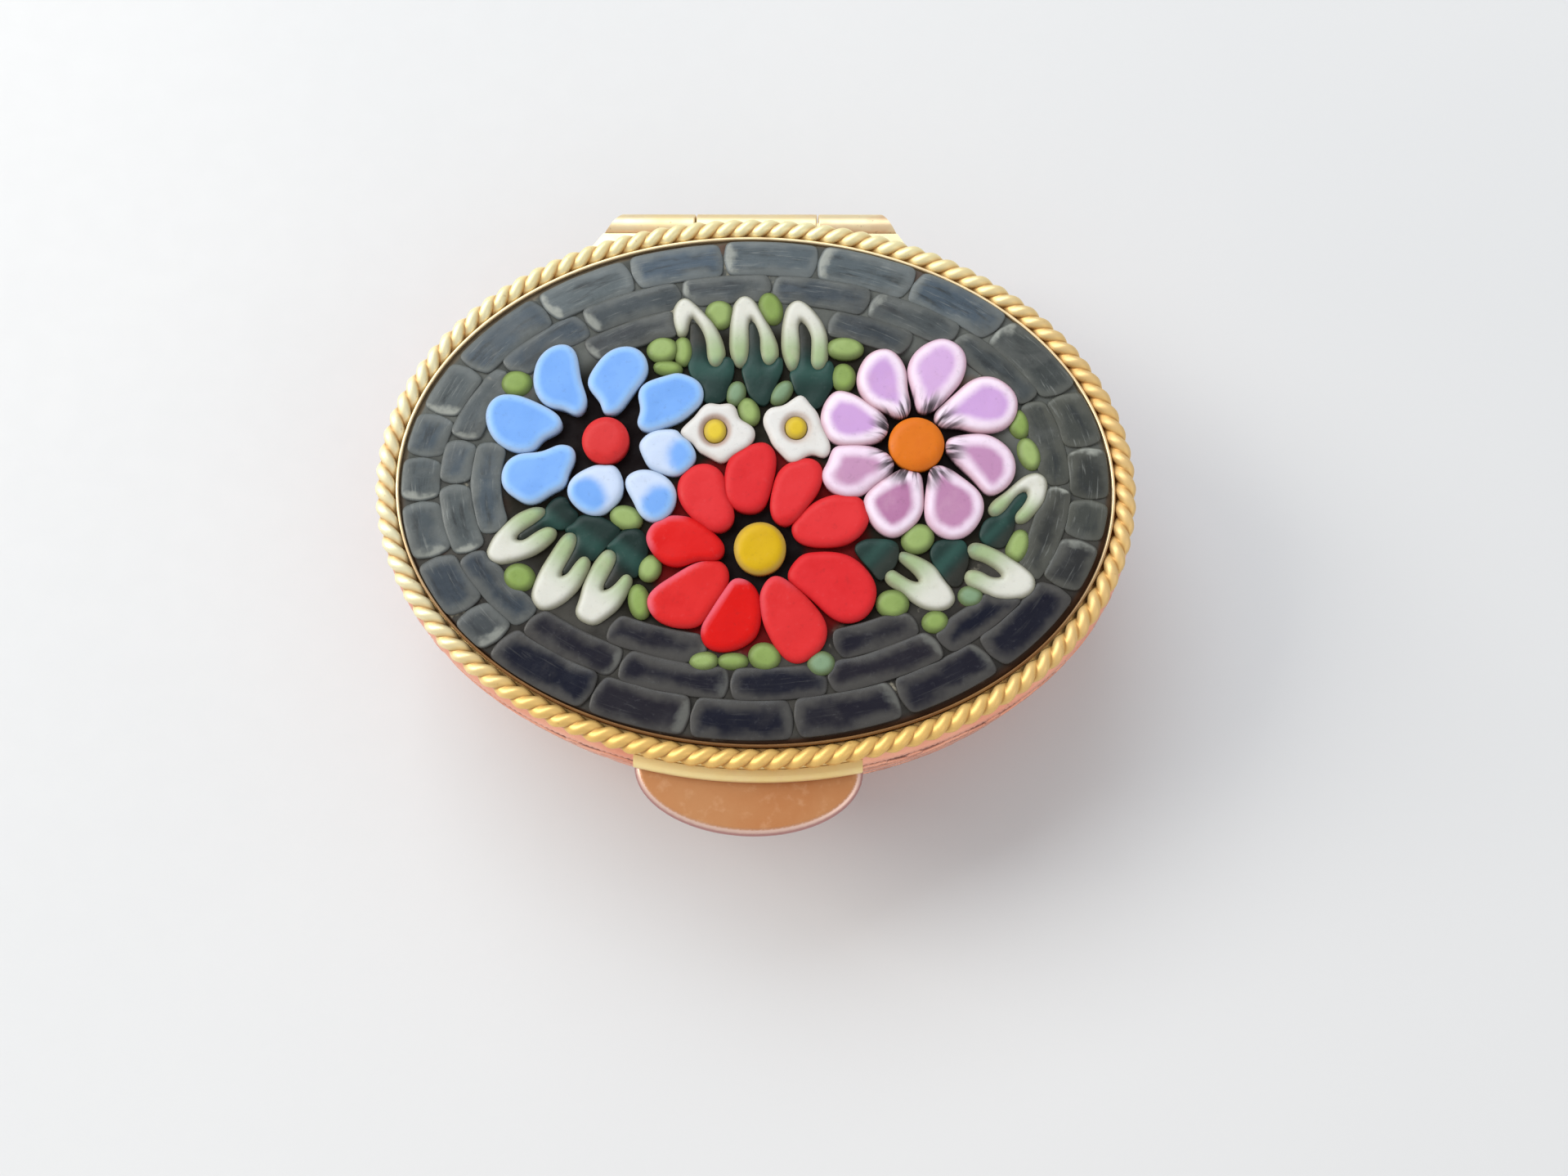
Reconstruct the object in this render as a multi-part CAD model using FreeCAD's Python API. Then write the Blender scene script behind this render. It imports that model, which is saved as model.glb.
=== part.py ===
import FreeCAD, Part
import math
import os

# Oval micromosaic pill box, in millimetres.
# +Z is up, the thumb tab faces -Y and the hinge is at +Y.
# The origin is on the underside, at the centre of the oval.

VEC = FreeCAD.Vector

# Every oval ring of the box is an ellipse with half axes (OVAL_A + d, OVAL_B + d).
# The metal ovals are turned by OVAL_TURN degrees against the oval that the glass is laid in.
OVAL_A = 20.0
OVAL_B = 14.85
OVAL_TURN = -1.6

# Heights
FLOOR_TOP = 0.5
SEAM_Z = 8.70
LID_BOTTOM_Z = 8.74
LID_TOP_Z = 12.45
BED_TOP_Z = 13.05

# Base bowl: (height, ring offset) of its outer and inner skins
BOWL_OUTER = [(0.0, -0.30), (0.45, 0.15), (1.5, 0.80), (3.2, 1.30),
              (5.2, 1.58), (7.0, 1.68), (SEAM_Z, 1.66)]
BOWL_INNER = [(FLOOR_TOP, -0.80), (1.2, 0.02), (2.4, 0.66), (4.2, 1.12)]
FLOOR_OFFSET = -0.80
LINER_OUTER = 1.12
LINER_INNER = 0.80
LINER_BOTTOM = 5.2
LINER_TOP = 9.9

# Lid shell
LID_OUTER = [(LID_BOTTOM_Z, 1.66), (9.6, 1.70), (10.8, 1.70),
             (11.6, 1.62), (12.1, 1.46), (LID_TOP_Z, 1.18)]
LID_INNER = [(11.0, 1.30), (11.6, 1.20), (12.0, 1.02), (LID_TOP_Z, 0.70)]
LID_INNER_OFFSET = 1.30
PLATE_BOTTOM = 11.95

# Bezel collar and rope wire round the mosaic; the rope rests on the lid
COLLAR_INNER = 0.02
COLLAR_OUTER = 0.20
COLLAR_TOP = 13.30
ROPE_OFFSET = 0.82
ROPE_R = 0.58
ROPE_Z = LID_TOP_Z + ROPE_R

# Hinge
HINGE_Y = 18.15
HINGE_Z = SEAM_Z
BARREL_R = 1.0
PIN_R = 0.40
BORE_TIGHT_R = 0.40
BORE_RUNNING_R = 0.45
MIDDLE_LEFT = -4.0
MIDDLE_RIGHT = 3.6
KNUCKLE_GAP = 0.08
RELIEF_R = 1.15
LEAF_T = 0.80

# Outline of the closed hinge from above: its slanted ends run through barrel and leaves
HINGE_FRONT_Y = 13.6
HINGE_BACK_Y = 19.2
HINGE_FRONT_LEFT = -12.65
HINGE_FRONT_RIGHT = 11.05
HINGE_BACK_LEFT = -8.5
HINGE_BACK_RIGHT = 7.5
PIN_LEFT = -8.8
PIN_RIGHT = 7.7

# Thumb tab
TAB_X = -0.17
TAB_Y = -16.03
TAB_A = 6.24
TAB_B = 3.58
TAB_TURN = -2.1
TAB_BOTTOM = 10.75
TAB_TOP = 11.65
TAB_ROUND_TOP = 0.42
TAB_ROUND_BOTTOM = 0.25
RIDGE_LEFT = -6.35
RIDGE_RIGHT = 6.0
RIDGE_OUTER = 1.95
RIDGE_INNER = 1.0
RIDGE_BOTTOM = 10.95
RIDGE_TOP = 12.35
RIDGE_ROUND = 0.30

# Mosaic: gaps and the tops of the different glass pieces
JOINT = 0.13
PIECE_GAP = 0.08
FIELD_TOP = 13.45
LEAF_TOP = 13.60
BUD_TOP = 13.58
DAISY_TOP = 13.62
PETAL_TOP = 13.72
CENTRE_TOP = 13.85
SMALLEST_PIECE = 0.30
SMALLEST_BRICK = 2.4
HEART_R = 3.3

# Field bricks: how far their corners are cut back, and the points along one long side
BRICK_LEAN = 0.22
BRICK_STEPS = 8

# Field rows: outer ring offset, row width, and the turns in degrees where the bricks meet
ROWS = {
    "field_row_1": (-0.25, 1.99, [8, 22, 42, 61, 79, 96, 113, 131, 151, 164, 175, 186,
                                  200, 214, 223, 243, 260, 277, 295, 313, 333, 345, 355]),
    "field_row_2": (-2.37, 1.63, [23, 47, 67, 87, 105, 126, 147, 169, 182, 202,
                                  224, 245, 266, 284, 307, 331, 358]),
    "field_row_3": (-4.13, 1.54, [21, 54, 74, 106, 130, 168, 199, 221, 239, 261, 287, 306, 330, 357]),
}

# Petals: points round each outline, in the order they sit round the flower
BLUE_PETALS = [
    [(-11.15, 8.05), (-12.0, 7.75), (-12.6, 6.8), (-12.7, 5.8), (-12.35, 4.75), (-11.55, 4.15),
     (-10.8, 4.0), (-10.05, 3.7), (-9.65, 4.25), (-9.9, 5.5), (-10.2, 6.8), (-10.5, 7.7)],
    [(-7.4, 7.9), (-8.5, 7.55), (-9.2, 6.7), (-9.55, 5.5), (-9.1, 4.85), (-8.75, 4.3),
     (-8.55, 3.8), (-8.0, 3.8), (-7.3, 4.55), (-6.65, 5.5), (-6.2, 6.4), (-6.5, 7.45)],
    [(-4.7, 6.2), (-5.7, 5.9), (-6.55, 5.35), (-6.65, 4.8), (-6.5, 3.9), (-6.65, 3.15),
     (-6.2, 2.75), (-5.25, 2.95), (-4.2, 3.4), (-3.5, 4.0), (-3.0, 4.65), (-3.1, 5.5), (-3.8, 6.05)],
    [(-6.45, 2.05), (-5.8, 2.65), (-5.0, 2.8), (-4.25, 2.7), (-3.6, 1.95), (-3.3, 1.3),
     (-3.65, 0.55), (-4.4, 0.1), (-5.2, 0.25), (-5.9, 0.6), (-6.3, 1.3)],
    [(-7.0, 0.1), (-6.2, 0.4), (-5.3, 0.2), (-4.65, -0.3), (-4.35, -0.95), (-4.45, -1.7),
     (-4.95, -2.4), (-5.6, -2.6), (-6.3, -2.2), (-6.75, -1.35), (-7.15, -0.6)],
    [(-8.35, 0.8), (-7.8, 0.6), (-7.4, -0.1), (-7.35, -0.9), (-7.8, -1.7), (-8.7, -2.25),
     (-9.85, -1.8), (-10.4, -0.95), (-10.2, -0.15), (-9.35, 0.5)],
    [(-10.75, 1.9), (-10.15, 1.5), (-10.2, 0.8), (-10.45, 0.15), (-10.6, -0.5), (-11.3, -0.95),
     (-11.9, -1.4), (-12.5, -1.6), (-13.3, -1.25), (-14.0, -0.65), (-14.15, 0.15), (-13.9, 0.9),
     (-13.2, 1.35), (-12.1, 1.45), (-11.4, 1.75)],
    [(-14.2, 4.95), (-15.0, 4.6), (-15.3, 3.7), (-15.15, 2.95), (-14.7, 2.2), (-13.95, 1.65),
     (-13.2, 1.45), (-12.4, 1.65), (-12.0, 2.2), (-11.4, 2.55), (-10.95, 3.0), (-11.05, 3.45),
     (-11.5, 3.9), (-12.3, 4.35), (-13.2, 4.75)],
]
PINK_PETALS = [
    [(7.4, 7.8), (6.55, 7.45), (6.0, 6.6), (5.85, 5.7), (6.15, 4.9), (6.75, 4.25), (7.5, 3.95),
     (8.45, 3.65), (8.75, 4.0), (8.65, 5.1), (8.6, 6.2), (8.2, 7.3)],
    [(10.6, 8.4), (9.55, 7.9), (8.9, 7.05), (8.75, 6.3), (8.95, 5.4), (9.15, 4.5), (9.4, 3.95),
     (9.9, 4.0), (10.45, 4.35), (11.0, 4.95), (11.65, 5.75), (12.0, 6.7), (11.9, 7.6), (11.35, 8.2)],
    [(13.3, 6.05), (12.25, 5.75), (11.4, 5.0), (10.65, 4.3), (10.2, 3.6), (10.45, 3.2), (11.4, 3.1),
     (12.3, 2.85), (13.45, 2.8), (14.3, 3.15), (14.8, 4.0), (14.75, 4.95), (14.2, 5.65)],
    [(11.2, 2.4), (12.3, 2.55), (13.25, 2.45), (14.0, 2.0), (14.55, 1.1), (14.5, 0.15),
     (13.85, -0.65), (13.1, -0.9), (12.6, -0.4), (11.95, 0.35), (11.25, 1.05), (10.85, 1.6),
     (10.85, 2.1)],
    [(10.1, 0.65), (10.7, 0.6), (11.4, 0.15), (12.05, -0.35), (12.6, -0.95), (12.75, -1.7),
     (12.45, -2.55), (11.8, -3.25), (11.0, -3.5), (10.2, -3.2), (9.65, -2.55), (9.55, -1.7),
     (9.65, -0.8), (9.8, 0.1)],
    [(8.95, 0.65), (9.3, 0.2), (9.4, -0.8), (9.4, -1.7), (9.05, -2.5), (8.4, -3.1), (7.7, -3.4),
     (6.9, -3.0), (6.35, -2.2), (6.2, -1.25), (6.7, -0.6), (7.45, 0.0), (8.2, 0.45)],
    [(4.7, 1.85), (5.6, 1.9), (6.75, 1.75), (7.5, 1.35), (7.8, 0.75), (7.6, 0.25), (7.0, -0.2),
     (6.2, -0.85), (5.4, -1.1), (4.7, -0.95), (4.1, -0.5), (3.85, 0.15), (4.2, 0.95)],
    [(4.85, 5.2), (5.8, 4.85), (6.55, 4.3), (7.2, 3.75), (7.5, 3.2), (7.4, 2.6), (6.75, 2.15),
     (5.8, 1.98), (4.9, 2.0), (4.15, 2.4), (3.8, 3.15), (3.85, 4.0), (4.25, 4.85)],
]
RED_PETALS = [
    [(0.35, 2.05), (-0.6, 1.7), (-1.3, 1.1), (-1.55, 0.15), (-1.55, -0.8), (-1.15, -1.65),
     (-0.4, -2.0), (0.35, -1.85), (0.8, -1.0), (1.05, 0.1), (1.15, 1.05), (0.9, 1.8)],
    [(3.05, 1.1), (2.25, 0.95), (1.5, 0.4), (1.15, -0.55), (1.0, -1.5), (1.15, -2.35),
     (1.65, -2.75), (2.25, -2.5), (2.85, -1.75), (3.45, -0.9), (3.75, -0.05), (3.6, 0.8)],
    [(4.75, -1.05), (3.6, -1.4), (2.75, -2.05), (2.2, -2.9), (2.4, -3.5), (3.05, -3.85),
     (4.15, -3.95), (5.3, -3.7), (6.05, -3.05), (6.35, -2.15), (5.9, -1.3)],
    [(3.05, -4.45), (4.15, -4.4), (5.3, -4.65), (6.1, -5.3), (6.65, -6.25), (6.55, -7.25),
     (5.95, -8.0), (5.05, -8.2), (4.15, -7.75), (3.3, -6.95), (2.5, -6.35), (2.0, -5.75), (2.3, -5.0)],
    [(0.7, -6.25), (1.4, -5.8), (2.05, -6.2), (2.75, -6.8), (3.4, -7.5), (3.95, -8.45), (3.9, -9.3),
     (3.25, -10.1), (2.4, -10.45), (1.6, -9.95), (1.05, -9.1), (0.65, -8.15), (0.5, -7.2)],
    [(-0.8, -5.9), (0.0, -6.3), (0.35, -7.1), (0.4, -8.05), (0.15, -9.0), (-0.7, -9.65),
     (-1.65, -9.85), (-2.45, -9.55), (-2.7, -8.85), (-2.3, -7.9), (-1.75, -7.0), (-1.3, -6.3)],
    [(-2.1, -4.85), (-3.25, -5.1), (-4.3, -5.75), (-5.2, -6.4), (-5.65, -7.05), (-5.4, -7.85),
     (-4.6, -8.4), (-3.65, -8.55), (-2.85, -8.35), (-2.35, -7.65), (-1.75, -6.75), (-1.4, -5.9),
     (-1.55, -5.15)],
    [(-4.6, -2.3), (-5.5, -2.75), (-5.85, -3.5), (-5.45, -4.4), (-4.75, -5.0), (-3.85, -5.05),
     (-2.9, -4.75), (-1.95, -4.7), (-1.65, -4.2), (-2.05, -3.5), (-2.75, -2.85), (-3.6, -2.4)],
    [(-2.8, 0.75), (-3.6, 0.5), (-4.15, -0.25), (-4.15, -1.1), (-3.75, -1.85), (-3.15, -2.5),
     (-2.4, -3.05), (-1.75, -3.1), (-1.2, -2.55), (-1.25, -1.75), (-1.55, -0.9), (-1.75, -0.05),
     (-2.15, 0.5)],
]

# Round pieces: (centre x, centre y, half width, half height, turn in degrees)
BLUE_CENTRE = [(-8.42, 2.15, 1.34, 1.40, 0)]
PINK_CENTRE = [(9.12, 1.98, 1.58, 1.60, 0)]
RED_CENTRE = [(0.38, -4.15, 1.45, 1.52, 0)]
DAISY_DOTS = [(-2.24, 2.75, 0.62, 0.70, 0), (2.34, 2.95, 0.60, 0.66, 0)]
BUDS = [
    (-13.7, 5.7, 0.80, 0.72, 0), (-5.4, 7.8, 0.82, 0.72, 0), (-4.2, 7.7, 0.45, 0.85, 5),
    (-5.05, 6.65, 0.80, 0.36, -8), (-2.15, 10.0, 0.75, 0.80, 0), (0.85, 10.4, 0.60, 0.95, 15),
    (5.15, 7.9, 1.00, 0.60, 0), (5.05, 6.1, 0.60, 0.80, 0), (-0.35, 4.0, 0.50, 0.80, 20),
    (-1.1, 5.1, 0.46, 0.68, -12), (1.5, 5.15, 0.42, 0.78, -40), (-7.1, -2.35, 0.85, 0.60, -20),
    (-12.85, -5.8, 0.80, 0.68, -25), (-5.7, -5.25, 0.55, 0.70, -10), (-6.2, -7.15, 0.50, 0.95, 12),
    (9.1, -3.5, 0.85, 0.72, 30), (7.65, -7.2, 0.82, 0.68, 0), (9.95, -8.2, 0.65, 0.52, 15),
    (14.6, -3.9, 0.50, 0.95, -22), (14.95, 3.3, 0.50, 0.85, 10), (15.45, 1.5, 0.52, 0.92, 15),
    (11.9, -6.75, 0.60, 0.50, 0), (-2.6, -10.42, 0.72, 0.42, 5), (-1.0, -10.42, 0.78, 0.36, 0),
    (0.7, -10.15, 0.80, 0.66, -10), (3.75, -10.5, 0.66, 0.58, 0),
]

# Daisies: points round each slice, and the clearance round its dot
DAISIES = [
    [(-4.18, 2.8), (-3.83, 3.2), (-3.38, 3.65), (-2.92, 4.3), (-2.6, 4.45), (-2.02, 4.33),
     (-1.44, 4.43), (-1.1, 4.15), (-0.92, 3.53), (-0.4, 3.2), (-0.02, 2.8), (-0.05, 2.35),
     (-0.4, 1.85), (-0.95, 1.5), (-1.4, 1.15), (-1.75, 0.9), (-2.2, 1.05), (-2.75, 1.38),
     (-3.15, 1.6), (-3.45, 2.05), (-3.95, 2.35)],
    [(2.5, 4.95), (2.06, 4.62), (1.54, 4.27), (0.9, 4.15), (0.55, 3.72), (0.5, 3.27), (0.76, 2.68),
     (1.02, 2.04), (1.4, 1.58), (1.75, 1.2), (2.06, 0.95), (2.45, 1.0), (2.9, 1.33), (3.35, 1.45),
     (3.93, 1.25), (4.22, 1.55), (4.18, 2.17), (3.9, 2.8), (3.67, 3.45), (3.48, 3.95), (3.03, 4.5),
     (2.75, 4.9)],
]
DOT_JOINT = 0.06

# Leaf tips: bent glass strips, as corners round each outline
LEAF_TIPS = [
    [(-4.6, 8.75), (-4.85, 9.6), (-4.85, 10.3), (-4.55, 10.9), (-4.15, 11.1), (-3.75, 10.85),
     (-3.2, 10.25), (-2.5, 9.5), (-2.0, 8.5), (-1.75, 7.6), (-1.9, 7.0), (-2.2, 6.65), (-2.6, 6.8),
     (-2.8, 7.3), (-2.9, 8.3), (-3.15, 9.1), (-3.75, 10.0), (-3.9, 9.5), (-4.0, 8.8), (-4.3, 8.55)],
    [(-1.25, 6.95), (-1.5, 7.8), (-1.5, 9.0), (-1.45, 9.9), (-1.3, 10.7), (-0.95, 11.15),
     (-0.5, 11.2), (-0.1, 10.85), (0.35, 10.0), (0.9, 9.0), (1.25, 8.1), (1.3, 7.4), (1.1, 6.95),
     (0.75, 6.75), (0.4, 7.0), (0.25, 7.8), (0.25, 8.5), (0.05, 9.2), (-0.35, 9.95), (-0.45, 9.2),
     (-0.4, 8.2), (-0.45, 7.3), (-0.65, 6.75), (-0.95, 6.7)],
    [(1.75, 6.9), (1.5, 7.8), (1.5, 8.9), (1.6, 9.7), (1.75, 10.4), (2.1, 10.85), (2.5, 10.95),
     (2.9, 10.7), (3.35, 10.2), (3.85, 9.5), (4.1, 8.7), (4.15, 7.8), (4.1, 7.0), (3.85, 6.55),
     (3.4, 6.5), (3.15, 6.9), (3.2, 7.8), (3.2, 8.6), (3.0, 9.2), (2.55, 9.8), (2.45, 9.2),
     (2.55, 8.3), (2.55, 7.4), (2.4, 6.6), (2.1, 6.4)],
    [(-14.6, -4.85), (-14.8, -4.4), (-14.45, -3.5), (-13.9, -2.8), (-13.2, -2.15), (-12.3, -1.75),
     (-11.7, -1.8), (-11.55, -2.15), (-12.1, -2.65), (-12.8, -3.1), (-13.35, -3.65), (-12.8, -3.75),
     (-12.1, -3.2), (-11.5, -2.85), (-11.0, -3.0), (-10.95, -3.4), (-11.3, -3.85), (-11.9, -4.35),
     (-12.6, -4.7), (-13.4, -4.95), (-14.1, -5.05)],
    [(-11.9, -7.4), (-12.15, -6.9), (-12.0, -6.1), (-11.65, -5.25), (-11.2, -4.45), (-10.75, -3.65),
     (-10.35, -3.2), (-9.9, -3.25), (-9.75, -3.65), (-10.0, -4.4), (-10.35, -5.1), (-10.7, -5.85),
     (-10.2, -5.6), (-9.85, -5.0), (-9.45, -4.55), (-9.05, -4.65), (-9.0, -5.15), (-9.25, -5.8),
     (-9.65, -6.5), (-10.15, -7.05), (-10.7, -7.45), (-11.4, -7.7)],
    [(-9.4, -8.2), (-9.7, -7.75), (-9.45, -7.0), (-9.3, -6.2), (-9.0, -5.45), (-8.65, -4.75),
     (-8.2, -4.2), (-7.75, -4.2), (-7.5, -4.6), (-7.7, -5.2), (-8.0, -5.8), (-8.35, -6.6),
     (-7.95, -6.5), (-7.5, -6.1), (-7.1, -5.55), (-6.7, -5.6), (-6.65, -6.1), (-6.95, -6.8),
     (-7.35, -7.5), (-7.9, -8.0), (-8.6, -8.5)],
    [(13.4, -2.3), (13.0, -1.85), (13.35, -1.3), (14.0, -0.85), (14.6, -0.3), (15.15, 0.15),
     (15.85, 0.4), (16.35, 0.1), (16.4, -0.6), (16.15, -1.4), (15.6, -2.05), (15.0, -2.6),
     (14.5, -2.55), (14.5, -2.1), (15.0, -1.55), (15.3, -1.0), (15.3, -0.6), (14.85, -0.8),
     (14.4, -1.3), (13.95, -1.9)],
    [(11.75, -4.15), (12.1, -3.7), (12.75, -3.8), (13.5, -4.15), (14.2, -4.6), (14.9, -5.1),
     (15.45, -5.65), (15.45, -6.35), (14.9, -6.8), (14.05, -6.95), (13.2, -6.85), (12.6, -6.5),
     (11.85, -6.2), (11.55, -5.7), (11.85, -5.25), (12.5, -5.35), (13.1, -5.75), (13.85, -5.7),
     (13.4, -5.2), (12.7, -4.75), (12.0, -4.55)],
    [(7.95, -4.6), (8.15, -4.2), (8.75, -4.4), (9.45, -4.7), (10.05, -5.1), (10.45, -5.8),
     (10.9, -6.35), (11.1, -6.95), (10.75, -7.4), (10.1, -7.6), (9.35, -7.45), (8.65, -7.0),
     (8.05, -6.45), (7.4, -6.05), (7.2, -5.6), (7.6, -5.2), (8.15, -5.6), (8.7, -5.95), (9.3, -6.05),
     (8.9, -5.45), (8.4, -5.0)],
]

# Dark leaf bodies: corners of each outline, with the tongue that runs up between the tip's legs
LEAF_BODIES = [
    [(-3.75, 9.7), (-3.0, 8.6), (-2.7, 7.2), (-1.9, 7.4), (-1.3, 7.1), (-1.35, 6.2), (-1.65, 5.4),
     (-1.75, 4.7), (-2.4, 4.5), (-2.95, 4.65), (-3.2, 5.6), (-3.8, 6.5), (-3.75, 7.4), (-3.75, 8.5)],
    [(-0.35, 9.7), (0.1, 9.0), (0.4, 8.0), (0.5, 7.0), (1.0, 7.0), (1.45, 7.4), (1.5, 6.6),
     (1.2, 5.9), (0.95, 5.2), (0.6, 4.4), (0.2, 4.5), (-0.35, 5.1), (-0.55, 5.9), (-0.75, 6.5),
     (-0.5, 7.2), (-0.55, 8.5)],
    [(2.55, 9.6), (3.0, 8.9), (3.3, 8.0), (3.3, 7.0), (3.8, 6.6), (4.25, 7.2), (4.45, 6.6),
     (4.4, 5.6), (4.0, 4.9), (3.7, 4.3), (3.2, 4.2), (2.8, 4.75), (2.3, 5.3), (2.1, 6.0), (2.0, 6.5),
     (2.5, 6.9), (2.35, 8.4)],
    [(-11.6, -1.9), (-11.2, -1.35), (-10.6, -1.15), (-10.3, -1.8), (-9.8, -2.15), (-9.95, -2.6),
     (-10.6, -3.0), (-11.2, -2.9), (-12.1, -3.3), (-13.2, -3.7), (-12.6, -2.8), (-12.0, -2.3)],
    [(-10.5, -3.1), (-10.2, -2.6), (-9.5, -2.25), (-8.7, -2.3), (-7.9, -2.7), (-7.35, -3.1),
     (-7.9, -3.7), (-8.5, -4.3), (-8.9, -4.9), (-9.4, -4.6), (-9.8, -5.2), (-10.6, -5.7),
     (-10.4, -4.9), (-10.0, -4.1)],
    [(-8.3, -4.0), (-7.7, -3.4), (-7.0, -3.05), (-6.3, -3.05), (-5.95, -3.6), (-5.85, -4.4),
     (-6.2, -5.0), (-6.5, -5.9), (-6.9, -5.4), (-7.4, -6.0), (-8.2, -6.5), (-8.0, -5.4), (-7.6, -4.4)],
    [(12.9, -2.4), (13.8, -2.2), (14.4, -1.3), (15.2, -0.75), (15.2, -1.3), (14.5, -2.2),
     (14.35, -2.9), (14.1, -3.6), (13.7, -4.0), (13.0, -3.8), (12.5, -3.4)],
    [(10.1, -3.7), (10.7, -3.6), (11.6, -3.6), (11.8, -4.1), (11.8, -4.9), (11.5, -5.5),
     (11.4, -6.1), (10.9, -6.2), (10.5, -5.6), (10.0, -4.9), (9.8, -4.3)],
    [(5.6, -4.0), (6.2, -3.6), (7.0, -3.6), (7.9, -3.7), (8.0, -4.3), (7.8, -5.0), (7.3, -5.6),
     (7.0, -5.9), (6.5, -5.2), (5.9, -4.5)],
]

os.makedirs("parts", exist_ok=True)


def save(shape, node):
    """Write one node, refusing an empty or broken solid."""
    if not shape.Solids:
        raise RuntimeError("no solid in " + node)
    for solid in shape.Solids:
        if not solid.isValid():
            raise RuntimeError("broken solid in " + node)
    shape.exportStep("parts/" + node + ".step")


# ---------- oval rings ----------

def oval_wire(offset, z):
    """Turned ellipse of one ring offset at one height."""
    ellipse = Part.Ellipse(VEC(0, 0, z), OVAL_A + offset, OVAL_B + offset)
    wire = Part.Wire([ellipse.toShape()])
    wire.rotate(VEC(0, 0, z), VEC(0, 0, 1), OVAL_TURN)
    return wire


def oval_disc(offset, z0, z1):
    """Upright solid oval."""
    face = Part.Face(oval_wire(offset, z0))
    return face.extrude(VEC(0, 0, z1 - z0))


def oval_ring(outer, inner, z0, z1):
    """Upright oval band."""
    return oval_disc(outer, z0, z1).cut(oval_disc(inner, z0 - 1, z1 + 1))


def oval_loft(sections):
    """Smooth oval solid through (height, ring offset) sections."""
    wires = [oval_wire(offset, z) for z, offset in sections]
    return Part.makeLoft(wires, True, False)


# ---------- base ----------

def bowl_cavity():
    rounded = oval_loft(BOWL_INNER)
    upright = oval_disc(BOWL_INNER[-1][1], BOWL_INNER[-1][0], SEAM_Z + 1)
    return rounded.fuse(upright)


def base_floor():
    return oval_disc(FLOOR_OFFSET, 0, FLOOR_TOP)


def base_wall():
    shell = oval_loft(BOWL_OUTER).cut(bowl_cavity())
    return shell.cut(oval_disc(FLOOR_OFFSET, -1, FLOOR_TOP))


def base_liner():
    band = oval_ring(LINER_OUTER, LINER_INNER, LINER_BOTTOM, LINER_TOP)
    top_edges = [e for e in band.Edges if e.BoundBox.ZMin > LINER_TOP - 0.01]
    return band.makeFillet(0.10, top_edges)


# ---------- lid ----------

def lid_cavity():
    upright = oval_disc(LID_INNER_OFFSET, LID_BOTTOM_Z - 1, LID_INNER[0][0])
    return upright.fuse(oval_loft(LID_INNER))


def lid_wall():
    return oval_loft(LID_OUTER).cut(lid_cavity())


def lid_plate():
    return oval_loft(LID_INNER).common(oval_disc(5, PLATE_BOTTOM, LID_TOP_Z))


def bezel_collar():
    band = oval_ring(COLLAR_OUTER, COLLAR_INNER, LID_TOP_Z, COLLAR_TOP)
    top_edges = [e for e in band.Edges if e.BoundBox.ZMin > COLLAR_TOP - 0.01]
    return band.makeFillet(0.07, top_edges)


def rope_wire():
    path = oval_wire(ROPE_OFFSET, ROPE_Z)
    edge = path.Edges[0]
    start = edge.valueAt(edge.FirstParameter)
    circle = Part.Circle(start, edge.tangentAt(edge.FirstParameter), ROPE_R)
    return path.makePipeShell([Part.Wire([circle.toShape()])], True, False)


# ---------- hinge ----------

def x_rod(radius, x0, x1):
    """Round rod on the hinge axis."""
    start = VEC(x0, HINGE_Y, HINGE_Z)
    return Part.makeCylinder(radius, x1 - x0, start, VEC(1, 0, 0))


def hinge_outline(z0, height):
    """Upright trapezoid from inside the wall to behind the barrel."""
    corners = [VEC(HINGE_FRONT_LEFT, HINGE_FRONT_Y, z0), VEC(HINGE_FRONT_RIGHT, HINGE_FRONT_Y, z0),
               VEC(HINGE_BACK_RIGHT, HINGE_BACK_Y, z0), VEC(HINGE_BACK_LEFT, HINGE_BACK_Y, z0)]
    return Part.Face(Part.makePolygon(corners + corners[:1])).extrude(VEC(0, 0, height))


def leaf_plate(z0):
    """Leaf from inside the wall to the hinge axis."""
    ahead = Part.makeBox(60, HINGE_Y, 60, VEC(-30, 0, -30))
    return hinge_outline(z0, LEAF_T).common(ahead)


def knuckle(x0, x1):
    """Barrel piece with softened rims."""
    rod = x_rod(BARREL_R, x0, x1)
    rims = [e for e in rod.Edges if e.BoundBox.XLength < 0.001]
    return rod.makeFillet(0.10, rims)


def end_knuckle(x0, x1):
    """Outer barrel piece, cut along the slanted end of the hinge."""
    return knuckle(x0, x1).common(hinge_outline(SEAM_Z - 3, 6))


def lid_hinge_leaf():
    """Upper leaf with the middle knuckle, clear of the outer knuckles."""
    left, right = MIDDLE_LEFT - KNUCKLE_GAP, MIDDLE_RIGHT + KNUCKLE_GAP
    plate = leaf_plate(SEAM_Z + 0.10).cut(oval_loft(LID_OUTER))
    plate = plate.cut(oval_disc(LID_INNER_OFFSET, 0, 20))
    plate = plate.cut(x_rod(RELIEF_R, HINGE_FRONT_LEFT, left))
    plate = plate.cut(x_rod(RELIEF_R, right, HINGE_FRONT_RIGHT))
    leaf = plate.fuse(knuckle(MIDDLE_LEFT, MIDDLE_RIGHT))
    below = Part.makeBox(right - left, 3, 3, VEC(left, HINGE_Y - 1.2, SEAM_Z - 3))
    leaf = leaf.cut(below.cut(x_rod(BARREL_R, left, right)))
    return leaf.cut(x_rod(BORE_RUNNING_R, -20, 20)).removeSplitter()


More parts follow.
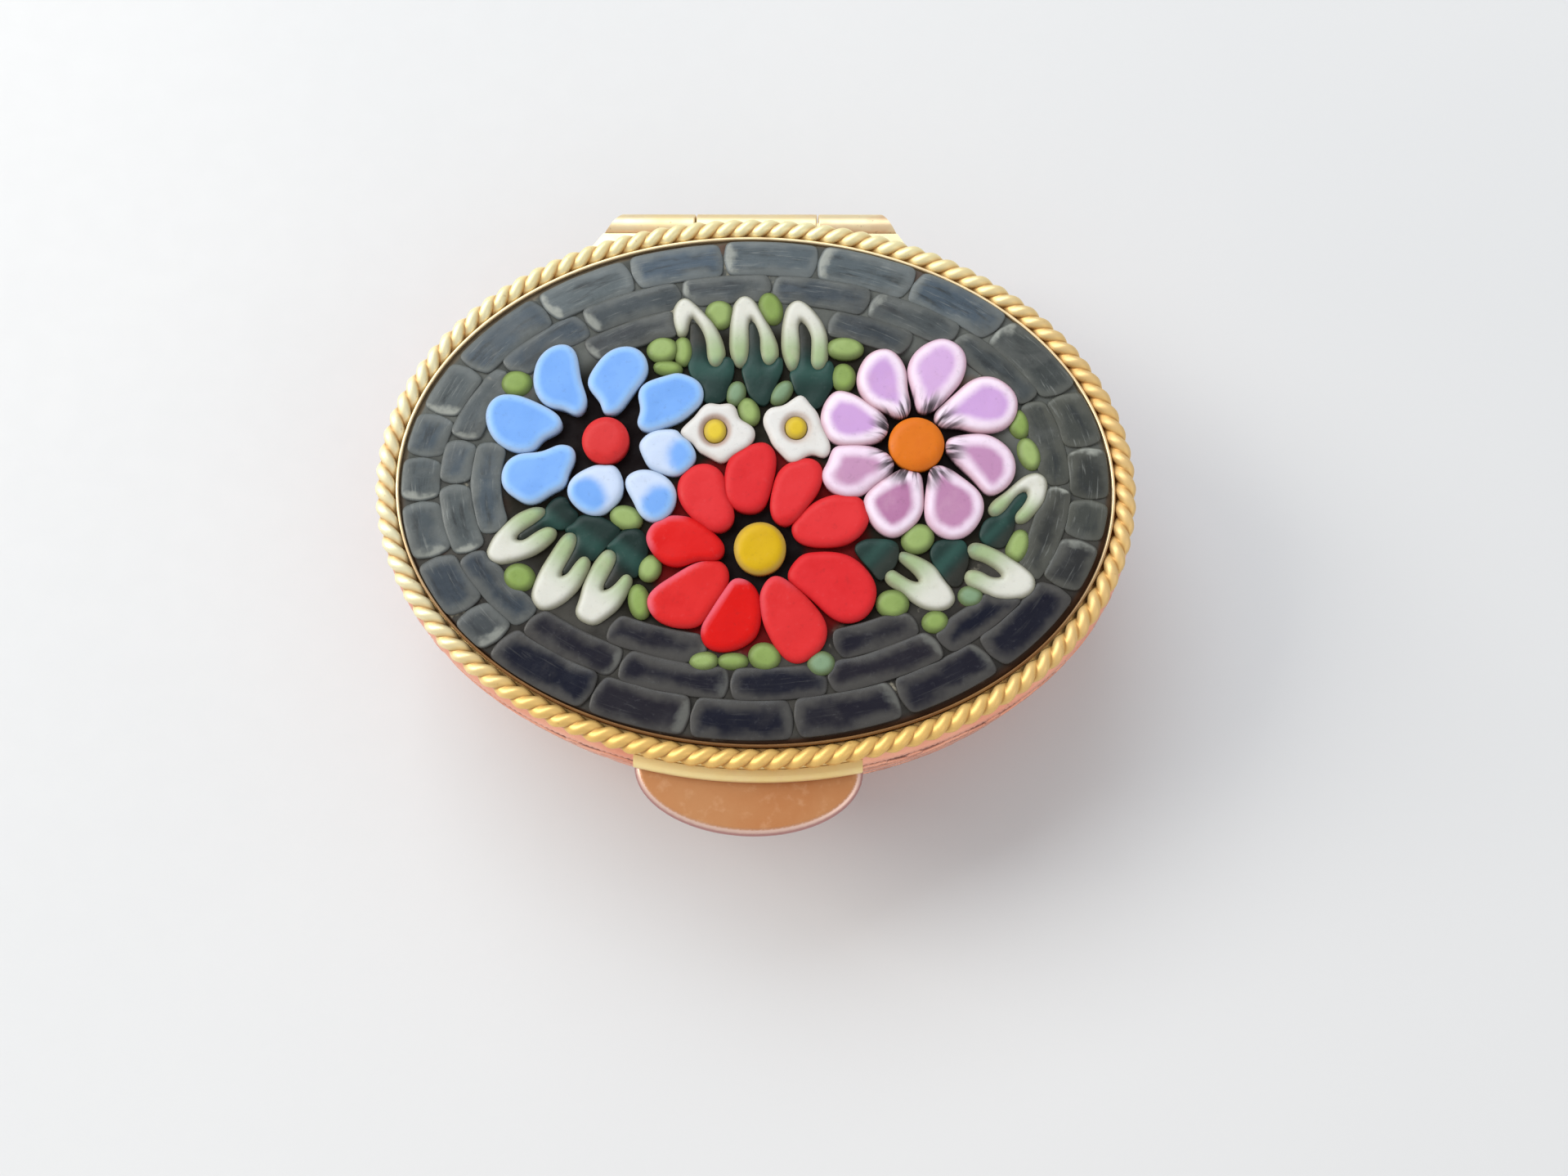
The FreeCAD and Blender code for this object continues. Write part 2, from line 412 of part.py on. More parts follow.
def base_hinge_leaf():
    """Lower leaf with the two outer knuckles, clear of the middle knuckle."""
    left, right = MIDDLE_LEFT - KNUCKLE_GAP, MIDDLE_RIGHT + KNUCKLE_GAP
    plate = leaf_plate(SEAM_Z - 0.10 - LEAF_T).cut(oval_loft(BOWL_OUTER))
    plate = plate.cut(oval_disc(LINER_OUTER, 0, 20))
    leaf = plate.cut(x_rod(RELIEF_R, left, right))
    leaf = leaf.fuse(end_knuckle(HINGE_FRONT_LEFT, left))
    leaf = leaf.fuse(end_knuckle(right, HINGE_FRONT_RIGHT))
    return leaf.cut(x_rod(BORE_TIGHT_R, -20, 20)).removeSplitter()


def hinge_pin():
    pin = x_rod(PIN_R, PIN_LEFT, PIN_RIGHT)
    rims = [e for e in pin.Edges if e.BoundBox.XLength < 0.001]
    return pin.makeFillet(0.08, rims)


# ---------- thumb tab ----------

def tab_oval(z0, z1):
    """Upright oval of the tab, turned a little about its centre."""
    centre = VEC(TAB_X, TAB_Y, z0)
    wire = Part.Wire([Part.Ellipse(centre, TAB_A, TAB_B).toShape()])
    wire.rotate(centre, VEC(0, 0, 1), TAB_TURN)
    return Part.Face(wire).extrude(VEC(0, 0, z1 - z0))


def tab_ridge():
    """Rounded ledge along the root of the tab, under the rope."""
    reach = Part.makeBox(RIDGE_RIGHT - RIDGE_LEFT, 12, 9, VEC(RIDGE_LEFT, -24, 6))
    ridge = oval_ring(RIDGE_OUTER, RIDGE_INNER, RIDGE_BOTTOM, RIDGE_TOP).common(reach)
    upper = [e for e in ridge.Edges if e.BoundBox.ZMin > RIDGE_TOP - 0.01]
    return ridge.makeFillet(RIDGE_ROUND, [min(upper, key=lambda e: e.BoundBox.YMin)])


def thumb_tab():
    """Rounded half-moon plate with a ledge, ending at the lid wall."""
    plate = tab_oval(TAB_BOTTOM, TAB_TOP)
    upper = [e for e in plate.Edges if e.BoundBox.ZMin > TAB_TOP - 0.01]
    plate = plate.makeFillet(TAB_ROUND_TOP, upper)
    lower = [e for e in plate.Edges if e.BoundBox.ZMax < TAB_BOTTOM + 0.01]
    plate = plate.makeFillet(TAB_ROUND_BOTTOM, lower).fuse(tab_ridge())
    outside = plate.cut(oval_loft(LID_OUTER)).cut(oval_disc(LID_INNER_OFFSET, 0, 20))
    return max(outside.Solids, key=lambda s: s.Volume).removeSplitter()


# ---------- mosaic outlines ----------

def flat_face(points, smooth):
    """Face at the top of the bed through plan points."""
    spots = [VEC(x, y, BED_TOP_Z) for x, y in points]
    if smooth:
        curve = Part.BSplineCurve()
        curve.interpolate(spots, PeriodicFlag=True)
        return Part.Face(Part.Wire([curve.toShape()]))
    return Part.Face(Part.makePolygon(spots + spots[:1]))


def grown(points, grow):
    """The same closed outline moved outward by grow."""
    turn = sum(x0 * y1 - x1 * y0 for (x0, y0), (x1, y1) in zip(points, points[1:] + points[:1]))
    side = math.copysign(grow, turn)
    moved = []
    for index, (x, y) in enumerate(points):
        x0, y0 = points[index - 1]
        x1, y1 = points[(index + 1) % len(points)]
        length = math.hypot(x1 - x0, y1 - y0)
        moved.append((x + side * (y1 - y0) / length, y - side * (x1 - x0) / length))
    return moved


def petal_outline(petal, grow):
    """Smooth petal through its outline points."""
    return flat_face(grown(petal, grow), True)


def round_outline(spot, grow):
    """Oval piece."""
    x, y, half_w, half_h, turn = spot
    points = []
    for step in range(12):
        angle = math.radians(30 * step)
        px = (half_w + grow) * math.cos(angle)
        py = (half_h + grow) * math.sin(angle)
        c, s = math.cos(math.radians(turn)), math.sin(math.radians(turn))
        points.append((x + px * c - py * s, y + px * s + py * c))
    return flat_face(points, True)


def softened(points):
    """The same closed outline with its corners cut twice."""
    for _ in range(2):
        cut = []
        for (x0, y0), (x1, y1) in zip(points, points[1:] + points[:1]):
            cut.append((0.8 * x0 + 0.2 * x1, 0.8 * y0 + 0.2 * y1))
            cut.append((0.2 * x0 + 0.8 * x1, 0.2 * y0 + 0.8 * y1))
        points = cut
    return points


def corner_outline(corners, grow):
    """Soft outline through corners, moved outward by grow."""
    return flat_face(grown(softened(corners), grow), False)


# ---------- mosaic field bricks ----------

def oval_spot(offset, t):
    return (OVAL_A + offset) * math.cos(t), (OVAL_B + offset) * math.sin(t)


def brick_outline(outer, width, t0, t1):
    """One brick of a ring, with softly cut ends."""
    inner = outer - width
    middle = outer - width / 2

    def speed(t):
        return math.hypot((OVAL_A + middle) * math.sin(t), (OVAL_B + middle) * math.cos(t))

    t0 += JOINT / 2 / speed(t0)
    t1 -= JOINT / 2 / speed(t1)
    turns = [t0 + (t1 - t0) * step / BRICK_STEPS for step in range(1, BRICK_STEPS)]
    turns = [t0 + BRICK_LEAN / speed(t0)] + turns + [t1 - BRICK_LEAN / speed(t1)]
    points = [oval_spot(outer, t) for t in turns]
    points.append(oval_spot(middle, t1))
    points += [oval_spot(inner, t) for t in reversed(turns)]
    points.append(oval_spot(middle, t0))
    return flat_face(points, False)


def row_outlines(row):
    """All bricks of one ring."""
    outer, width, joints = row
    turns = [math.radians(joint) for joint in joints]
    following = turns[1:] + [turns[0] + 2 * math.pi]
    return [brick_outline(outer, width, t0, t1) for t0, t1 in zip(turns, following)]


# ---------- laying the mosaic ----------

TAKEN = []


def trimmed(face, smallest):
    """What is left of an outline beside the pieces already laid."""
    for other in TAKEN:
        if face.BoundBox.intersect(other.BoundBox):
            left = face.cut(other)
            if not left.Faces:
                return None
            face = max(left.Faces, key=lambda f: f.Area)
    return face if face.Area > smallest else None


def lay(items, outline, top, keep_out):
    """Cut each item to fit, raise it to its top and note the room it takes."""
    solids = []
    rooms = []
    for item in items:
        face = trimmed(outline(item, 0), SMALLEST_PIECE)
        if face is None:
            continue
        solids.append(face.extrude(VEC(0, 0, top - BED_TOP_Z)))
        rooms.append(outline(item, keep_out))
        TAKEN.append(rooms[-1])
    return Part.makeCompound(solids)


def lay_bricks(row):
    """Cut the field bricks to fit round the flowers."""
    solids = []
    for outline in row_outlines(row):
        face = trimmed(outline, SMALLEST_BRICK)
        if face is not None:
            solids.append(face.extrude(VEC(0, 0, FIELD_TOP - BED_TOP_Z)))
    return Part.makeCompound(solids)


def daisy_petals():
    """White daisy slices with a round hole for the yellow centre."""
    solids = []
    for daisy, dot in zip(DAISIES, DAISY_DOTS):
        slice_face = petal_outline(daisy, 0).cut(round_outline(dot, DOT_JOINT))
        solids.append(slice_face.Faces[0].extrude(VEC(0, 0, DAISY_TOP - BED_TOP_Z)))
        TAKEN.append(petal_outline(daisy, PIECE_GAP))
    return Part.makeCompound(solids)


def daisy_centres():
    """Yellow dots inside the daisy slices."""
    solids = []
    for dot in DAISY_DOTS:
        solids.append(round_outline(dot, 0).extrude(VEC(0, 0, DAISY_TOP + 0.05 - BED_TOP_Z)))
    return Part.makeCompound(solids)


def mosaic():
    """Every glass piece, laid in order from the flowers outwards."""
    gap = PIECE_GAP
    save(lay(BLUE_CENTRE, round_outline, CENTRE_TOP, gap), "blue_flower_centre")
    save(lay(PINK_CENTRE, round_outline, CENTRE_TOP, gap), "pink_flower_centre")
    save(lay(RED_CENTRE, round_outline, CENTRE_TOP, gap), "red_flower_centre")
    save(daisy_petals(), "daisy_petals")
    save(daisy_centres(), "daisy_centres")
    save(lay(BLUE_PETALS, petal_outline, PETAL_TOP, gap), "blue_petals")
    save(lay(PINK_PETALS, petal_outline, PETAL_TOP, gap), "pink_petals")
    save(lay(RED_PETALS, petal_outline, PETAL_TOP, gap), "red_petals")
    save(lay(LEAF_TIPS, corner_outline, LEAF_TOP, gap), "leaf_tips")
    save(lay(BUDS, round_outline, BUD_TOP, gap), "buds")
    save(lay(LEAF_BODIES, corner_outline, LEAF_TOP - 0.1, gap + 0.03), "leaf_bodies")
    for x, y, _, _, _ in BLUE_CENTRE + PINK_CENTRE + RED_CENTRE:
        TAKEN.append(round_outline((x, y, HEART_R, HEART_R, 0), 0))
    for node in ROWS:
        save(lay_bricks(ROWS[node]), node)


save(base_floor(), "base_floor")
save(base_wall(), "base_wall")
save(base_liner(), "base_liner")
save(base_hinge_leaf(), "base_hinge_leaf")
save(hinge_pin(), "hinge_pin")
save(lid_wall(), "lid_wall")
save(lid_plate(), "lid_plate")
save(lid_hinge_leaf(), "lid_hinge_leaf")
save(thumb_tab(), "thumb_tab")
save(bezel_collar(), "bezel_collar")
save(rope_wire(), "rope_wire")
save(oval_disc(COLLAR_INNER, LID_TOP_Z, BED_TOP_Z), "mosaic_bed")
mosaic()
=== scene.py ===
import math

import bmesh
import bpy
import numpy as np
from mathutils import Euler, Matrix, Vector, noise
from mathutils.geometry import delaunay_2d_cdt


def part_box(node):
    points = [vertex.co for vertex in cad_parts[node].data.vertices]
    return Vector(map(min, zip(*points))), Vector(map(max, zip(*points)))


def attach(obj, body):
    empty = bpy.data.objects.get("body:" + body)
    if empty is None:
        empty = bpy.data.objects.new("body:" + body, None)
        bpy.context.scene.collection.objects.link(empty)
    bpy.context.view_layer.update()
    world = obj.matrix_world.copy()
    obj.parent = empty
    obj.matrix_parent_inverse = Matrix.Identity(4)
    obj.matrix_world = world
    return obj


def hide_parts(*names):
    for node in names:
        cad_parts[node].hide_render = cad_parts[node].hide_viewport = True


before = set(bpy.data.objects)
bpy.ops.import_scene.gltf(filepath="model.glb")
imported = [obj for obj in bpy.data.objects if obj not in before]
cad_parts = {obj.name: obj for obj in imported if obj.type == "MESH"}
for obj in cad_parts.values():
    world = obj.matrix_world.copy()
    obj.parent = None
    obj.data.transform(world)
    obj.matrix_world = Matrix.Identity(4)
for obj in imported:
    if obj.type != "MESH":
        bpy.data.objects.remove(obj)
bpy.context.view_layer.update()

MM = 0.001

# ---- sizes, in millimetres

OVAL_A = 20.0
OVAL_B = 14.85
OVAL_TURN = math.radians(-1.6)
BED_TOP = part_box("mosaic_bed")[1].z / MM
BED_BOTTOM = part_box("mosaic_bed")[0].z / MM
BED_OFFSET = 0.02

ROPE_LOW, ROPE_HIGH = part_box("rope_wire")
ROPE_Z = (ROPE_LOW.z + ROPE_HIGH.z) / 2 / MM
ROPE_R = (ROPE_HIGH.z - ROPE_LOW.z) / 2 / MM
ROPE_OFFSET = 0.82
ROPE_TURNS = 53
LEDGE_FROM = 11.70
SOLDER_FROM, SOLDER_TO = -6.30, 5.90
STRAND_SHARE = 0.70

LID_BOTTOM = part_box("lid_wall")[0].z / MM
LID_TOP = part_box("lid_wall")[1].z / MM
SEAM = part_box("base_wall")[1].z / MM

LID_OUTER = [(LID_BOTTOM, 1.66), (9.6, 1.70), (10.8, 1.70), (11.6, 1.62), (12.1, 1.46), (LID_TOP, 1.18)]
LID_INNER = [(LID_BOTTOM, 1.30), (11.0, 1.30), (11.6, 1.20), (12.0, 1.02), (LID_TOP, 0.70)]
BASE_OUTER = [(0.0, -0.30), (0.45, 0.15), (1.5, 0.80), (3.2, 1.30), (5.2, 1.58), (7.0, 1.68), (SEAM, 1.66)]
BASE_INNER = [(0.0, -0.80), (0.5, -0.80), (1.2, 0.02), (2.4, 0.66), (4.2, 1.12), (SEAM, 1.12)]


# ---- node helpers

class Nodes:
    """Short way to build one material."""

    def __init__(self, name):
        self.mat = bpy.data.materials.new(name)
        self.mat.use_nodes = True
        self.tree = self.mat.node_tree
        self.shader = self.tree.nodes["Principled BSDF"]

    def add(self, kind, **values):
        node = self.tree.nodes.new(kind)
        for key, value in values.items():
            setattr(node, key, value)
        return node

    def link(self, source, target):
        self.tree.links.new(source, target)

    def value(self, source, target):
        """Link a socket, or set a plain number or colour."""
        if isinstance(source, bpy.types.NodeSocket):
            self.link(source, target)
        else:
            target.default_value = source

    def coords(self):
        return self.add("ShaderNodeTexCoord").outputs["Object"]

    def noise(self, scale, detail=4.0, rough=0.5, vector=None, distortion=0.0):
        node = self.add("ShaderNodeTexNoise")
        node.inputs["Scale"].default_value = scale
        node.inputs["Detail"].default_value = detail
        node.inputs["Roughness"].default_value = rough
        node.inputs["Distortion"].default_value = distortion
        self.link(vector or self.coords(), node.inputs["Vector"])
        return node.outputs["Fac"]

    def stretched(self, x, y, z):
        node = self.add("ShaderNodeMapping")
        node.inputs["Scale"].default_value = (x, y, z)
        self.link(self.coords(), node.inputs["Vector"])
        return node.outputs["Vector"]

    def axis(self, letter, kind="Object"):
        """X, Y or Z of the point in the object's own space, or of its normal."""
        split = self.add("ShaderNodeSeparateXYZ")
        self.link(self.add("ShaderNodeTexCoord").outputs[kind], split.inputs["Vector"])
        return split.outputs[letter]

    def attribute(self, name):
        return self.add("ShaderNodeAttribute", attribute_name=name).outputs["Fac"]

    def span(self, source, low, high, to_low=0.0, to_high=1.0):
        node = self.add("ShaderNodeMapRange", interpolation_type="SMOOTHSTEP")
        node.clamp = True
        self.link(source, node.inputs["Value"])
        node.inputs["From Min"].default_value = low
        node.inputs["From Max"].default_value = high
        node.inputs["To Min"].default_value = to_low
        node.inputs["To Max"].default_value = to_high
        return node.outputs["Result"]

    def math(self, operation, a, b=0.0):
        node = self.add("ShaderNodeMath", operation=operation)
        self.value(a, node.inputs[0])
        self.value(b, node.inputs[1])
        return node.outputs[0]

    def mix(self, factor, a, b):
        node = self.add("ShaderNodeMix", data_type="RGBA")
        node.clamp_factor = True
        self.value(factor, node.inputs["Factor"])
        for source, target in ((a, node.inputs[6]), (b, node.inputs[7])):
            if isinstance(source, bpy.types.NodeSocket):
                self.link(source, target)
            else:
                target.default_value = (*source, 1.0)
        return node.outputs[2]

    def bump(self, height, strength, distance, normal=None):
        node = self.add("ShaderNodeBump")
        node.inputs["Strength"].default_value = strength
        node.inputs["Distance"].default_value = distance
        self.link(height, node.inputs["Height"])
        if normal is not None:
            self.link(normal, node.inputs["Normal"])
        return node.outputs["Normal"]

    def done(self, color, roughness, normal, **fixed):
        """Link the three main inputs, set the others and give the material."""
        self.link(color, self.shader.inputs["Base Color"])
        self.link(roughness, self.shader.inputs["Roughness"])
        self.link(normal, self.shader.inputs["Normal"])
        for key, value in fixed.items():
            self.shader.inputs[key.replace("_", " ")].default_value = value
        return self.mat


# ---- materials

def gilt_material(name, bright, deep, rough):
    """Gilded brass: warm base, dull patches, brown specks and fine scratches."""
    n = Nodes(name)
    patches = n.noise(140.0, 5.0, 0.6)
    color = n.mix(n.span(patches, 0.35, 0.7), bright, deep)
    blush = n.noise(420.0, 3.0, 0.5)
    color = n.mix(n.span(blush, 0.52, 0.75, 0.0, 0.35), color, (0.70, 0.27, 0.12))
    speck = n.noise(2600.0, 2.0, 0.6)
    color = n.mix(n.span(speck, 0.66, 0.78, 0.0, 0.5), color, (0.24, 0.10, 0.04))
    scratch_a = n.noise(900.0, 3.0, 0.7, n.stretched(1.0, 14.0, 1.0))
    scratch_b = n.noise(1100.0, 3.0, 0.7, n.stretched(12.0, 1.0, 2.0))
    scratches = n.math("MAXIMUM", scratch_a, scratch_b)
    roughness = n.span(patches, 0.3, 0.75, rough, rough + 0.14)
    roughness = n.math("ADD", roughness, n.span(scratches, 0.6, 0.8, 0.0, 0.12))
    wobble = n.bump(n.noise(260.0, 2.0, 0.4), 0.25, 0.00012)
    normal = n.bump(scratches, 0.10, 0.00002, wobble)
    return n.done(color, roughness, normal, Metallic=1.0)


def wall_material(name):
    """Satin gilding of the walls: bright on the ridges, brown in the grooves, paler where the tab is
    soldered on, a painted highlight there.
    """
    n = Nodes(name)
    groove_color = (0.17, 0.035, 0.022)
    patches = n.noise(180.0, 4.0, 0.6)
    # Pinkish copper tone: partly coppery gilding, partly a painted reflection of the surroundings.
    color = n.mix(n.span(patches, 0.35, 0.7), (0.97, 0.46, 0.31), (0.88, 0.34, 0.21))
    color = n.mix(n.span(n.attribute("cavity"), 0.30, 1.0, 0.0, 0.85), color, groove_color)
    # Painted highlight where the tab is soldered on above its ledge.
    color = n.mix(n.attribute("solder_highlight"), color, (0.98, 0.76, 0.36))
    speck = n.noise(3000.0, 2.0, 0.6)
    color = n.mix(n.span(speck, 0.64, 0.78, 0.0, 0.35), color, groove_color)
    roughness = n.span(patches, 0.3, 0.75, 0.26, 0.38)
    normal = n.bump(n.noise(900.0, 3.0, 0.6), 0.25, 0.00004)
    return n.done(color, roughness, normal, Metallic=0.90)


def rope_material():
    """Gilding of the twisted wire, with painted light and shade: pale where the light falls at the left
    and by the hinge, deeper gold as painted shade at the tab and the right.
    """
    n = Nodes("rope_gilt")
    # Painted light and shade by position: pale at the left and by the hinge, deeper gold at the tab and
    # the right.
    front = n.span(n.axis("Y"), -0.015, -0.002, 1.0, 0.0)
    left = n.span(n.axis("X"), -0.021, -0.012, 0.8, 0.0)
    right = n.span(n.axis("X"), 0.008, 0.020, 0.0, 0.85)
    color = n.mix(front, (1.0, 0.90, 0.52), (0.91, 0.575, 0.175))
    color = n.mix(left, color, (1.0, 0.95, 0.66))
    color = n.mix(right, color, (0.79, 0.51, 0.20))
    patches = n.noise(180.0, 4.0, 0.6)
    color = n.mix(n.span(patches, 0.35, 0.7, 0.0, 0.22), color, (0.80, 0.50, 0.16))
    groove_color = (0.50, 0.24, 0.06)
    cavity = n.attribute("cavity")
    # Painted shade on the wires' flanks and in the grooves between them; groove_color also colours the
    # dark specks below.
    color = n.mix(n.span(cavity, 0.02, 0.35, 0.0, 0.45), color, (0.82, 0.52, 0.15))
    color = n.mix(n.span(cavity, 0.30, 1.0, 0.0, 0.85), color, groove_color)
    speck = n.noise(3000.0, 2.0, 0.6)
    color = n.mix(n.span(speck, 0.64, 0.78, 0.0, 0.35), color, groove_color)
    roughness = n.span(patches, 0.3, 0.75, 0.42, 0.54)
    normal = n.bump(n.noise(900.0, 3.0, 0.6), 0.25, 0.00004)
    return n.done(color, roughness, normal, Metallic=0.55)


def glass_finish(n, color, rough, spec, sss=0.0):
    """Shared surface of the glass pieces: pits, faint ripples and uneven gloss."""
    ripple = n.noise(700.0, 3.0, 0.5)
    pits = n.noise(3400.0, 3.0, 0.6)
    color = n.mix(n.span(pits, 0.58, 0.78, 0.0, 0.015), color, (0.95, 0.95, 0.97))
    color = n.mix(n.span(pits, 0.24, 0.44, 0.12, 0.0), color, (0.02, 0.02, 0.02))
    roughness = n.span(ripple, 0.3, 0.75, rough, rough + 0.14)
    roughness = n.math("ADD", roughness, n.span(pits, 0.58, 0.75, 0.0, 0.25))
    soft = n.bump(ripple, 0.5, 0.00009)
    normal = n.bump(pits, 0.18, 0.00003, soft)
    mat = n.done(color, roughness, normal, Metallic=0.0, IOR=1.50, Specular_IOR_Level=spec)
    if sss:
        n.shader.inputs["Subsurface Weight"].default_value = sss
        n.shader.inputs["Subsurface Radius"].default_value = (1.0, 0.8, 0.7)
        n.shader.inputs["Subsurface Scale"].default_value = 0.0003
    return mat


def mottled(n, color, light, dark, amount):
    """Small change of tone from piece to piece and cloudiness inside each piece."""
    tint = n.attribute("tint")
    color = n.mix(n.span(tint, 0.0, 1.0, 0.0, amount), color, light)
    cloud = n.noise(520.0, 4.0, 0.6)
    return n.mix(n.span(cloud, 0.45, 0.8, 0.0, 0.45), color, dark)


def drawn_streaks(n, across, along):
    """Noise stretched along the ring that a brick lies in."""
    joined = n.add("ShaderNodeCombineXYZ")
    n.link(n.math("MULTIPLY", n.attribute("lane"), across), joined.inputs["X"])
    n.link(n.math("MULTIPLY", n.attribute("arc"), along), joined.inputs["Y"])
    n.link(n.attribute("tint"), joined.inputs["Z"])
    return n.noise(1.0, 4.0, 0.6, joined.outputs["Vector"], 0.4)


def field_material():
    """Smoky glass with a dark drawn core, a paler rim and on some bricks one pale end; painted sheen makes
    the hinge side and the left blue-grey and painted shade darkens the tab side.
    """
    n = Nodes("field_glass")
    rim = n.attribute("rim")
    contrast = n.attribute("contrast")
    painted_sheen = n.attribute("painted_sheen")
    tint = n.attribute("tint")
    bands = drawn_streaks(n, 2.2, 0.35)
    core_dark = n.mix(tint, (0.003, 0.004, 0.013), (0.012, 0.010, 0.016))
    # Painted sheen: blue-grey cores and rims at the hinge side and the left.
    core_soft = n.mix(painted_sheen, (0.058, 0.062, 0.054), (0.070, 0.098, 0.128))
    core_other = n.mix(painted_sheen, (0.030, 0.032, 0.028), (0.115, 0.132, 0.128))
    core_soft = n.mix(n.span(tint, 0.2, 0.8, 0.0, 0.75), core_soft, core_other)
    core_soft = n.mix(n.span(bands, 0.45, 0.70, 0.0, 0.85), core_soft, (0.032, 0.036, 0.036))
    # Painted shade: darker cores where contrast is high, at the tab side.
    core = n.mix(contrast, core_soft, core_dark)
    pale_soft = n.mix(painted_sheen, (0.092, 0.094, 0.078), (0.165, 0.182, 0.180))
    pale = n.mix(contrast, pale_soft, (0.074, 0.070, 0.064))
    wander = n.math("ADD", rim, n.span(n.noise(430.0, 3.0, 0.55), 0.3, 0.7, -0.25, 0.25))
    edge = n.span(wander, 0.05, 0.75, 0.85, 0.0)
    color = n.mix(edge, core, pale)
    streak = drawn_streaks(n, 7.5, 0.5)
    wisp = n.mix(contrast, (0.30, 0.31, 0.29), (0.060, 0.060, 0.060))
    color = n.mix(n.span(streak, 0.56, 0.74, 0.0, 0.45), color, wisp)
    ragged = n.math("ADD", n.attribute("end"), n.span(n.noise(900.0, 3.0, 0.6), 0.3, 0.7, -0.25, 0.25))
    crescent = n.math("MULTIPLY", n.span(ragged, 0.20, 0.75, 1.0, 0.0), n.span(rim, 0.03, 0.16))
    crescent = n.math("MULTIPLY", crescent, n.span(tint, 0.30, 0.70, 0.15, 0.85))
    crescent = n.math("MULTIPLY", crescent, n.span(contrast, 0.20, 0.80, 1.0, 0.25))
    color = n.mix(crescent, color, (0.34, 0.35, 0.31))
    smoke = n.noise(230.0, 5.0, 0.65, distortion=0.8)
    haze = n.mix(contrast, (0.115, 0.120, 0.112), (0.040, 0.037, 0.038))
    color = n.mix(n.span(smoke, 0.52, 0.76, 0.0, 0.6), color, haze)
    crumbs = n.noise(360.0, 4.0, 0.6)
    color = n.mix(n.span(crumbs, 0.70, 0.78, 0.0, 0.45), color, (0.32, 0.30, 0.25))
    return glass_finish(n, color, 0.26, spec=0.20)


def blue_material():
    """Sky blue glass with a frosted rim; some petals are cased in white."""
    n = Nodes("blue_glass")
    rim = n.attribute("rim")
    color = mottled(n, (0.165, 0.365, 0.790), (0.195, 0.400, 0.820), (0.135, 0.315, 0.740), 0.6)
    color = n.mix(n.span(rim, 0.20, 0.60, 0.55, 0.0), color, (0.36, 0.60, 0.90))
    wander = n.math("ADD", n.attribute("white"), n.span(n.noise(420.0, 3.0, 0.5), 0.3, 0.7, -0.16, 0.16))
    color = n.mix(n.span(wander, 0.12, 0.9), color, (0.56, 0.65, 0.82))
    color = n.mix(n.span(rim, 0.02, 0.30, 0.7, 0.0), color, (0.42, 0.52, 0.66))
    return glass_finish(n, color, 0.34, sss=0.06, spec=0.22)


def pink_material():
    """Cased glass: mauve core, pale rim, grey streaks at the inner tip."""
    n = Nodes("pink_glass")
    rim = n.attribute("rim")
    along = n.attribute("along")
    core = n.mix(n.attribute("low"), (0.56, 0.33, 0.63), (0.42, 0.165, 0.32))
    wander = n.math("ADD", rim, n.span(n.noise(420.0, 3.0, 0.5), 0.3, 0.7, -0.12, 0.12))
    color = n.mix(n.span(wander, 0.36, 0.92), (0.86, 0.72, 0.83), core)
    color = n.mix(n.span(rim, 0.0, 0.34, 0.8, 0.0), color, (0.52, 0.30, 0.34))
    color = mottled(n, color, (0.72, 0.50, 0.68), (0.58, 0.34, 0.46), 0.25)
    spokes = n.add("ShaderNodeCombineXYZ")
    n.link(n.math("MULTIPLY", n.attribute("turn"), 7.0), spokes.inputs["X"])
    n.link(n.math("MULTIPLY", along, 2.0), spokes.inputs["Y"])
    streaks = n.noise(1.0, 2.0, 0.5, spokes.outputs["Vector"])
    tip = n.span(along, 0.08, 0.36, 1.0, 0.0)
    smoke = n.math("MULTIPLY", tip, n.span(streaks, 0.40, 0.60))
    color = n.mix(smoke, color, (0.060, 0.042, 0.052))
    return glass_finish(n, color, 0.34, sss=0.06, spec=0.22)


def red_material():
    """Coral red at the top of the flower, painted deeper towards its lower left as painted shade, with a
    painted highlight on upper-left edges.
    """
    n = Nodes("red_glass")
    rim = n.attribute("rim")
    # Painted shade: deeper red on the petals at the lower left.
    body = n.mix(n.attribute("deep"), (0.66, 0.022, 0.026), (0.66, 0.006, 0.004))
    color = n.mix(n.span(rim, 0.0, 0.34, 0.45, 0.0), body, (0.46, 0.012, 0.018))
    color = mottled(n, color, (0.70, 0.045, 0.045), (0.56, 0.006, 0.007), 0.4)
    # Painted highlight: pale edge at the upper left of those petals.
    lit = n.math("MULTIPLY", n.attribute("lit"), n.attribute("deep"))
    color = n.mix(n.math("MULTIPLY", lit, 0.6), color, (0.72, 0.16, 0.22))
    return glass_finish(n, color, 0.36, sss=0.05, spec=0.13)


def plain_glass(name, base, light, dark, rim_color=None):
    """One colour of glass with cloudy patches, dulled at its rim where that is wanted."""
    n = Nodes(name)
    color = mottled(n, base, light, dark, 0.6)
    if rim_color:
        color = n.mix(n.span(n.attribute("rim"), 0.0, 0.36, 0.8, 0.0), color, rim_color)
    return glass_finish(n, color, 0.34, sss=0.05, spec=0.16)


def daisy_material():
    """White slice with a brown-pink ring round its yellow dot."""
    n = Nodes("daisy_glass")
    ring = n.attribute("ring")
    color = n.mix(n.span(ring, 0.02, 0.46, 1.0, 0.0), (0.70, 0.68, 0.65), (0.33, 0.165, 0.11))
    color = n.mix(n.span(n.attribute("rim"), 0.0, 0.30, 0.6, 0.0), color, (0.50, 0.42, 0.36))
    color = mottled(n, color, (0.76, 0.74, 0.70), (0.60, 0.54, 0.48), 0.3)
    return glass_finish(n, color, 0.36, sss=0.08, spec=0.2)


